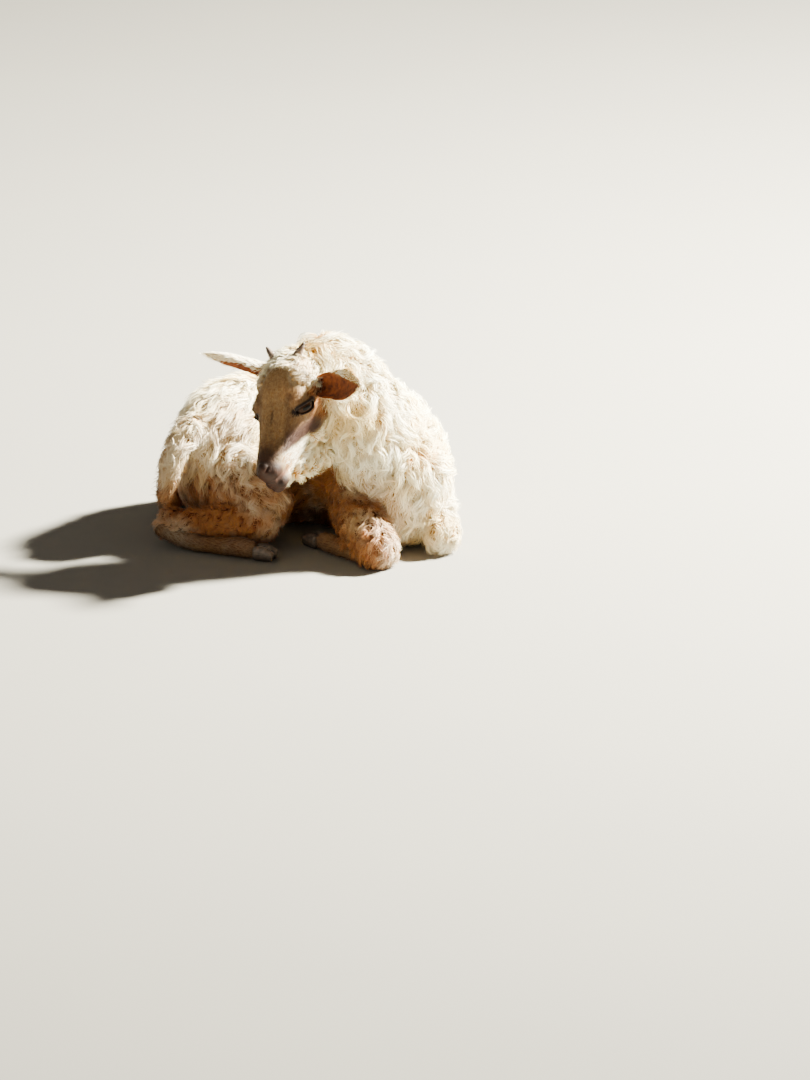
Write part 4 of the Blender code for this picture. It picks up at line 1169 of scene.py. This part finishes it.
def short_hair(shape, sizes, material):
    """Short hair that breaks the outline of the head, ears and feet."""
    chance = np.random.default_rng(SEED + 1)
    roots, normals = scattered(shape, SHORT_HAIRS, chance)
    region = region_of(roots)
    signs = marks(roots, normals, region)
    keep = on(region, "head", "ear", "hind_foot", "fore_foot") & (signs["bare"] + signs["rim"] <= 0.45)
    keep &= (roots[:, 2] > 0.002) & (chance.random(len(roots)) < sizes.hair_share)
    roots, normals, region = roots[keep], normals[keep], region[keep]
    head = on(region, "head")
    x, _, z = (moved(MODEL_TO_HEAD, roots) * 1000).T
    count = len(roots)
    long = np.where(head, 5.0, 5.5) * chance.uniform(0.6, 1.3, count)
    for word, side in SIDES:
        edge = on(region, "ear_" + word) & (np.abs(ear_place(side, roots)[2]) > 0.8)
        long = np.where(edge, long * 1.8, long)
    long = np.where(head & (x < 34), long * np.interp(x, (0, 34), (2.6, 1.0)), long)
    long = np.where(head & (z < -14) & (x > 10) & (x < 96), long * 1.5, long)
    long = np.where(head & (x > 112), long * 0.55, long)
    signs = {key: signs[key][keep] for key in ("stain_and_shade", "face", "dark_hair_and_shade", "rim")}
    return single_hairs("short_hair", roots, normals, region, long * 0.001, chance.uniform(0.10, 0.34, count),
                        0.48, 0.0, 0.1, signs, material, chance)


def eyeball(side, material):
    """One eyeball, with the distances of its points from the middle of the iris."""
    made = ball("eye", (0, 0, 0), (EYE_RADIUS,) * 3, None, 96, 64)
    local = points_of(made.data) * 1000
    off_axis = np.hypot(local[:, 0], local[:, 2])
    front = local[:, 1] > 0
    mark(made.data, "off_axis", np.where(front, off_axis, 12))
    pupil = np.sum((np.abs(local[:, [0, 2]]) / PUPIL) ** 3, axis=1)
    mark(made.data, "pupil", np.where(front, pupil, 3))
    made.data.transform(HEAD_TO_MODEL @ Matrix.Translation(mirrored(EYE_AT, side) * 0.001) @ eye_turn(side))
    made.data.materials.append(material)
    return made


def horn_bud(side, material):
    """A short horn with a blunt tip and a few growth ridges."""
    rows = []
    lean = mirrored(HORN_LEAN, side).normalized()
    base = mirrored(HORN_AT, side)
    steps = 9
    for k in range(steps):
        u = k / (steps - 1)
        at = base + lean * (HORN_HEIGHT * 1.04 * u - 5.0 * (1 - u)) + Vector((-1.0, 0, 0)) * 1.6 * u * u
        thick = HORN_RADIUS * (1 - u) ** 0.8 + 1.3 * u
        rows.append((*at, thick, thick, thick))
    made = tube("horn", rows, ((1, 0, 0), (1, 0, 0)), 64, 32, blunt=0.8)
    local = points_of(made.data) * 1000
    rise = dot(local - np.array(base), np.array(lean))[:, 0] / HORN_HEIGHT
    ridge = 1 + 0.035 * np.sin(rise * 26) * smooth(1.0, 0.5, rise)
    middle = np.array(base) + rise[:, None] * HORN_HEIGHT * np.array(lean)
    local = middle + (local - middle) * ridge[:, None]
    put(made, local * 0.001)
    mark(made.data, "rise", rise)
    made.data.materials.append(material)
    return in_head(made)


def claw(foot, side, material):
    """One claw of a foot: a small hoof with a flat sole and a blunt toe."""
    rows = FEET[foot]
    ahead = Vector(sections(rows, UPRIGHT, np.array((len(rows) - 1.0,)))[1][0])
    ahead.z = 0
    turn = axes(ahead, Vector((0, 0, 1)).cross(ahead))
    made = tube("claw", CLAW, UPRIGHT, 24, 24, blunt=0.5)
    local = points_of(made.data)
    mark(made.data, "rise", smooth(0.004, -0.006, local[:, 2]))
    end = rows[-1]
    at = Vector((end[0], end[1], 8.6)) * 0.001 + turn.to_3x3() @ (Vector((6.0, CLAW_APART * side, 0)) * 0.001)
    made.data.transform(Matrix.Translation(at) @ turn)
    here = points_of(made.data)
    here[:, 2] = np.maximum(here[:, 2], 0.0)
    put(made, here)
    made.data.materials.append(material)
    return made


def settle(made, nodes=()):
    """Lets a piece ride on the kid's body, and hides the solids that it stands for."""
    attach(made, "root")
    if nodes:
        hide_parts(*nodes)


class KidSizes(bpy.types.PropertyGroup):
    """Sizes of the coat."""

    length: bpy.props.FloatProperty(name="Lock length", default=1.0, min=0.3, max=2.0,
                                    description="Length of the locks, 1 is a month's growth")
    spacing: bpy.props.FloatProperty(name="Lock spacing", description="Distance of the locks, in lock widths",
                                     default=0.82, min=0.5, max=2.0)
    strands: bpy.props.IntProperty(name="Strands", description="Strands in each lock",
                                   default=34, min=4, max=60)
    strand_width: bpy.props.FloatProperty(name="Strand width", description="Width of a strand in mm",
                                          default=0.65, min=0.2, max=3.0)
    hair_share: bpy.props.FloatProperty(name="Short hair", default=1.0, min=0.0, max=1.0, subtype="FACTOR",
                                        description="Share of the short hairs that are made")


def colour_property(name, description, code):
    """A colour that a user can change, from its sRGB hex value."""
    return bpy.props.FloatVectorProperty(name=name, description=description, subtype="COLOR", size=3,
                                         default=linear(code), min=0.0, max=1.0)


class KidColours(bpy.types.PropertyGroup):
    """Colours of the kid and of the floor."""

    fleece: colour_property("Fleece", "Clean cream fleece", "#FFFBE4")
    fleece_warm: colour_property("Warm fleece", "Fleece with a little yolk in it", "#F8E8B8")
    # the stain colour also paints shade low on the body and between the eye and the ear
    stain_and_shade: colour_property("Stain", "Fleece that is stained by soil", "#A2682E")
    # darkens the coat towards the roots: painted shade
    root: colour_property("Roots", "What the coat's roots are multiplied by", "#D2B078")
    # painted shade on the skin between the locks
    under_fleece_shade: colour_property("Deep roots", "What the skin under the fleece is multiplied by", "#9C7A52")
    # also paints shade on strands deep in a lock
    dull_and_shade: colour_property("Dull", "What duller locks are multiplied by", "#EAD4A4")
    # the face hair is darker than the kid's own cream face: partly painted shade
    face: colour_property("Face hair", "Short hair of the face and ears", "#8E6B45")
    face_light: colour_property("Paler face hair", "Paler streaks of the face", "#B3946A")
    # also paints the ear's shadow on the face's sides, and shade on the feet
    nose_hair_and_shadow: colour_property("Nose hair", "Short hair of the nose and muzzle", "#40261A")
    skin: colour_property("Bare skin", "Nose, lips and the cup of the ear", "#8A4A24")
    skin_dark: colour_property("Darker skin", "Darker parts of the bare skin", "#4E2412")
    rim: colour_property("Rims", "Edges of the lids and nostrils", "#1C100B")
    iris: colour_property("Iris", "Amber of the iris", "#3A220E")
    iris_dark: colour_property("Iris streaks", "Darker streaks of the iris", "#180C06")
    pupil: colour_property("Pupil", "The level pupil", "#060404")
    horn: colour_property("Horn", "Dark horn", "#4A3A30")
    horn_light: colour_property("Worn horn", "Paler, worn horn", "#7E6A5A")
    hoof: colour_property("Hoof", "Dark hoof horn", "#3A3029")
    hoof_light: colour_property("Worn hoof", "Paler, worn hoof horn", "#6B5B4D")
    floor: colour_property("Floor", "Plain pale floor", "#827E76")


class KID_OT_skin(bpy.types.Operator):
    """Makes the skin of the whole kid, with lids, lips, nostrils and ear cups."""

    bl_idname = "kid.skin"
    bl_label = "Skin"

    def execute(self, context):
        skin = cut(body_skin(), [head_skin()], "UNION")
        skin.name = "skin"
        skin.data.name = "skin"
        here = points_of(skin.data)
        here[:, 2] = np.maximum(here[:, 2], 0.0)
        put(skin, here)
        skin.data.polygons.foreach_set("use_smooth", np.ones(len(skin.data.polygons), bool))
        normals = np.empty(len(skin.data.vertices) * 3, np.float32)
        skin.data.vertex_normals.foreach_get("vector", normals)
        normals = normals.reshape(-1, 3)
        region = region_of(here)
        for key, values in marks(here, normals, region).items():
            mark(skin.data, key, values)
        self.unwrap(skin, here, region)
        skin.data.materials.clear()
        skin.data.materials.append(skin_material(context.scene.kid_colours))
        skin.data.polygons.foreach_set("material_index", np.zeros(len(skin.data.polygons), np.int32))
        apart = ("eye", "horn", "fore_claw", "hind_claw")
        settle(skin, [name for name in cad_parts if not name.startswith(apart)])
        return {"FINISHED"}

    def unwrap(self, skin, here, region):
        """Lays the skin's own unwrap, one cell for each limb."""
        mesh = skin.data
        starts = np.empty(len(mesh.polygons), np.int32)
        totals = np.empty(len(mesh.polygons), np.int32)
        mesh.polygons.foreach_get("loop_start", starts)
        mesh.polygons.foreach_get("loop_total", totals)
        corner = np.empty(len(mesh.loops), np.int32)
        mesh.loops.foreach_get("vertex_index", corner)
        face = np.repeat(np.arange(len(starts)), totals)
        first = corner[starts][face]
        flat = unwrapped(here[corner], region[first])
        lead = flat[starts][face]
        cell = np.array([CELLS[name][2] for name in REGIONS])[region[first]] * (1 - 2 * CELL_MARGIN)
        jump = np.round((flat[:, 0] - lead[:, 0]) / cell)
        flat[:, 0] -= jump * cell
        layer = mesh.uv_layers.new(name="OFBake")
        layer.data.foreach_set("uv", flat.astype(np.float32).ravel())


class KID_OT_eyes(bpy.types.Operator):
    """Makes the two eyeballs behind the lids."""

    bl_idname = "kid.eyes"
    bl_label = "Eyes"

    def execute(self, context):
        finish = eye_material(context.scene.kid_colours)
        for word, side in SIDES:
            made = eyeball(side, finish)
            made.name = "wet_eye_" + word
            settle(made, ("eye_" + word,))
        return {"FINISHED"}


class KID_OT_horns(bpy.types.Operator):
    """Makes the two horn buds."""

    bl_idname = "kid.horns"
    bl_label = "Horn buds"

    def execute(self, context):
        colours = context.scene.kid_colours
        finish = horn_material("young_horn", colours.horn, colours.horn_light, 30.0)
        for word, side in SIDES:
            made = horn_bud(side, finish)
            made.name = "bud_" + word
            settle(made, ("horn_" + word,))
        return {"FINISHED"}


class KID_OT_claws(bpy.types.Operator):
    """Makes the two claws of each foot."""

    bl_idname = "kid.claws"
    bl_label = "Claws"

    def execute(self, context):
        colours = context.scene.kid_colours
        finish = horn_material("hoof_keratin", colours.hoof, colours.hoof_light, 22.0)
        for foot in FEET:
            for word, side in SIDES:
                node = foot.replace("foot", "claw") + "_" + word
                made = claw(foot, side, finish)
                made.name = "hoof_" + node
                settle(made, (node,))
        return {"FINISHED"}


class KID_OT_coat(bpy.types.Operator):
    """Grows the fleece and the short hair on the skin."""

    bl_idname = "kid.coat"
    bl_label = "Coat"

    def execute(self, context):
        skin = bpy.data.objects.get("skin")
        if skin is None:
            raise RuntimeError("make the skin before the coat")
        shape = surface(skin)
        sizes, colours = context.scene.kid_sizes, context.scene.kid_colours
        wool = fleece_material(colours)
        for made in fleece(shape, sizes, wool) + underwool(shape, sizes, wool):
            settle(made)
        for made in short_hair(shape, sizes, hair_material(colours)):
            settle(made)
        return {"FINISHED"}


class KID_OT_stage(bpy.types.Operator):
    """Sets up the pale floor, the soft lights and the camera."""

    bl_idname = "kid.stage"
    bl_label = "Stage"

    def execute(self, context):
        self.floor(context.scene.kid_colours)
        self.lights(context.scene)
        self.camera(context.scene)
        return {"FINISHED"}

    def floor(self, colours):
        """A wide matt floor."""
        corners = np.array(((-1, -1, 0), (1, -1, 0), (1, 1, 0), (-1, 1, 0))) * 30.0
        made = mesh_object("floor", corners, np.array(((0, 1, 2, 3),)))
        paper, tree, shader = blank("matt_paper", Roughness=0.9, Specular_IOR_Level=0.2)
        tone = mixed(tree, ramp(tree, noise(tree, 400, 2.0), 0.3, 0.7), colours.floor,
                     tuple(c * 0.97 for c in colours.floor))
        tree.links.new(tone, shader.inputs["Base Color"])
        made.data.materials.append(paper)

    def lights(self, scene):
        """A strong high light from the right of the picture, a weak one from the left, and an even sky."""
        middle = Vector((-0.01, -0.05, 0.1))
        for name, at, size, power, tint in (
            ("key", (2.03, 0.70, 1.78), 0.3, 2100.0, (1.0, 0.99, 0.86)),
            ("fill", (-2.2, -2.0, 1.6), 2.4, 14.0, (1.0, 0.93, 0.82)),
        ):
            light = bpy.data.lights.new(name, "AREA")
            light.shape = "DISK"
            light.size = size
            light.energy = power
            light.color = tint
            made = bpy.data.objects.new(name, light)
            made.location = at
            made.rotation_mode = "QUATERNION"
            made.rotation_quaternion = (middle - Vector(at)).to_track_quat("-Z", "Y")
            scene.collection.objects.link(made)
        world = bpy.data.worlds.new("even_sky")
        world.use_nodes = True
        sky = world.node_tree.nodes["Background"]
        sky.inputs["Color"].default_value = (1.0, 0.94, 0.85, 1.0)
        sky.inputs["Strength"].default_value = 0.24
        scene.world = world

    def camera(self, scene):
        """A long lens that looks down a little, from so far away that near parts don't look larger."""
        distance, rise, frame_height = 8.0, math.radians(17.0), 1.080
        lens = bpy.data.cameras.new("camera")
        lens.sensor_width = 36.0
        lens.lens = lens.sensor_width * distance / frame_height
        made = bpy.data.objects.new("camera", lens)
        back = Vector((0, -math.cos(rise), math.sin(rise)))
        target = Vector((0.083, -0.060, -0.0093)) + back * 0.06
        made.location = target + back * distance
        made.rotation_mode = "QUATERNION"
        made.rotation_quaternion = (-back).to_track_quat("-Z", "Y")
        scene.collection.objects.link(made)
        scene.camera = made


class KID_PT_panel(bpy.types.Panel):
    """Lists the steps, sizes and colours of the kid."""

    bl_label = "Cashmere Kid"
    bl_idname = "KID_PT_panel"
    bl_space_type = "VIEW_3D"
    bl_region_type = "UI"
    bl_category = "Kid"

    def draw(self, context):
        for step in STEPS:
            self.layout.operator(step.bl_idname)
        for group in (context.scene.kid_sizes, context.scene.kid_colours):
            for name in group.__class__.__annotations__:
                self.layout.prop(group, name)


STEPS = (KID_OT_skin, KID_OT_eyes, KID_OT_horns, KID_OT_claws, KID_OT_coat, KID_OT_stage)
CLASSES = (KidSizes, KidColours, *STEPS, KID_PT_panel)


def register():
    """Registers the classes and hangs the sizes and colours on the scene."""
    for kind in CLASSES:
        bpy.utils.register_class(kind)
    bpy.types.Scene.kid_sizes = bpy.props.PointerProperty(type=KidSizes)
    bpy.types.Scene.kid_colours = bpy.props.PointerProperty(type=KidColours)


def unregister():
    """Takes the classes and the sizes and colours away again."""
    del bpy.types.Scene.kid_sizes
    del bpy.types.Scene.kid_colours
    for kind in reversed(CLASSES):
        bpy.utils.unregister_class(kind)


def main():
    """Makes the kid and the stage."""
    register()
    for step in (bpy.ops.kid.skin, bpy.ops.kid.eyes, bpy.ops.kid.horns, bpy.ops.kid.claws, bpy.ops.kid.coat,
                 bpy.ops.kid.stage):
        step()


if __name__ == "__main__":
    main()
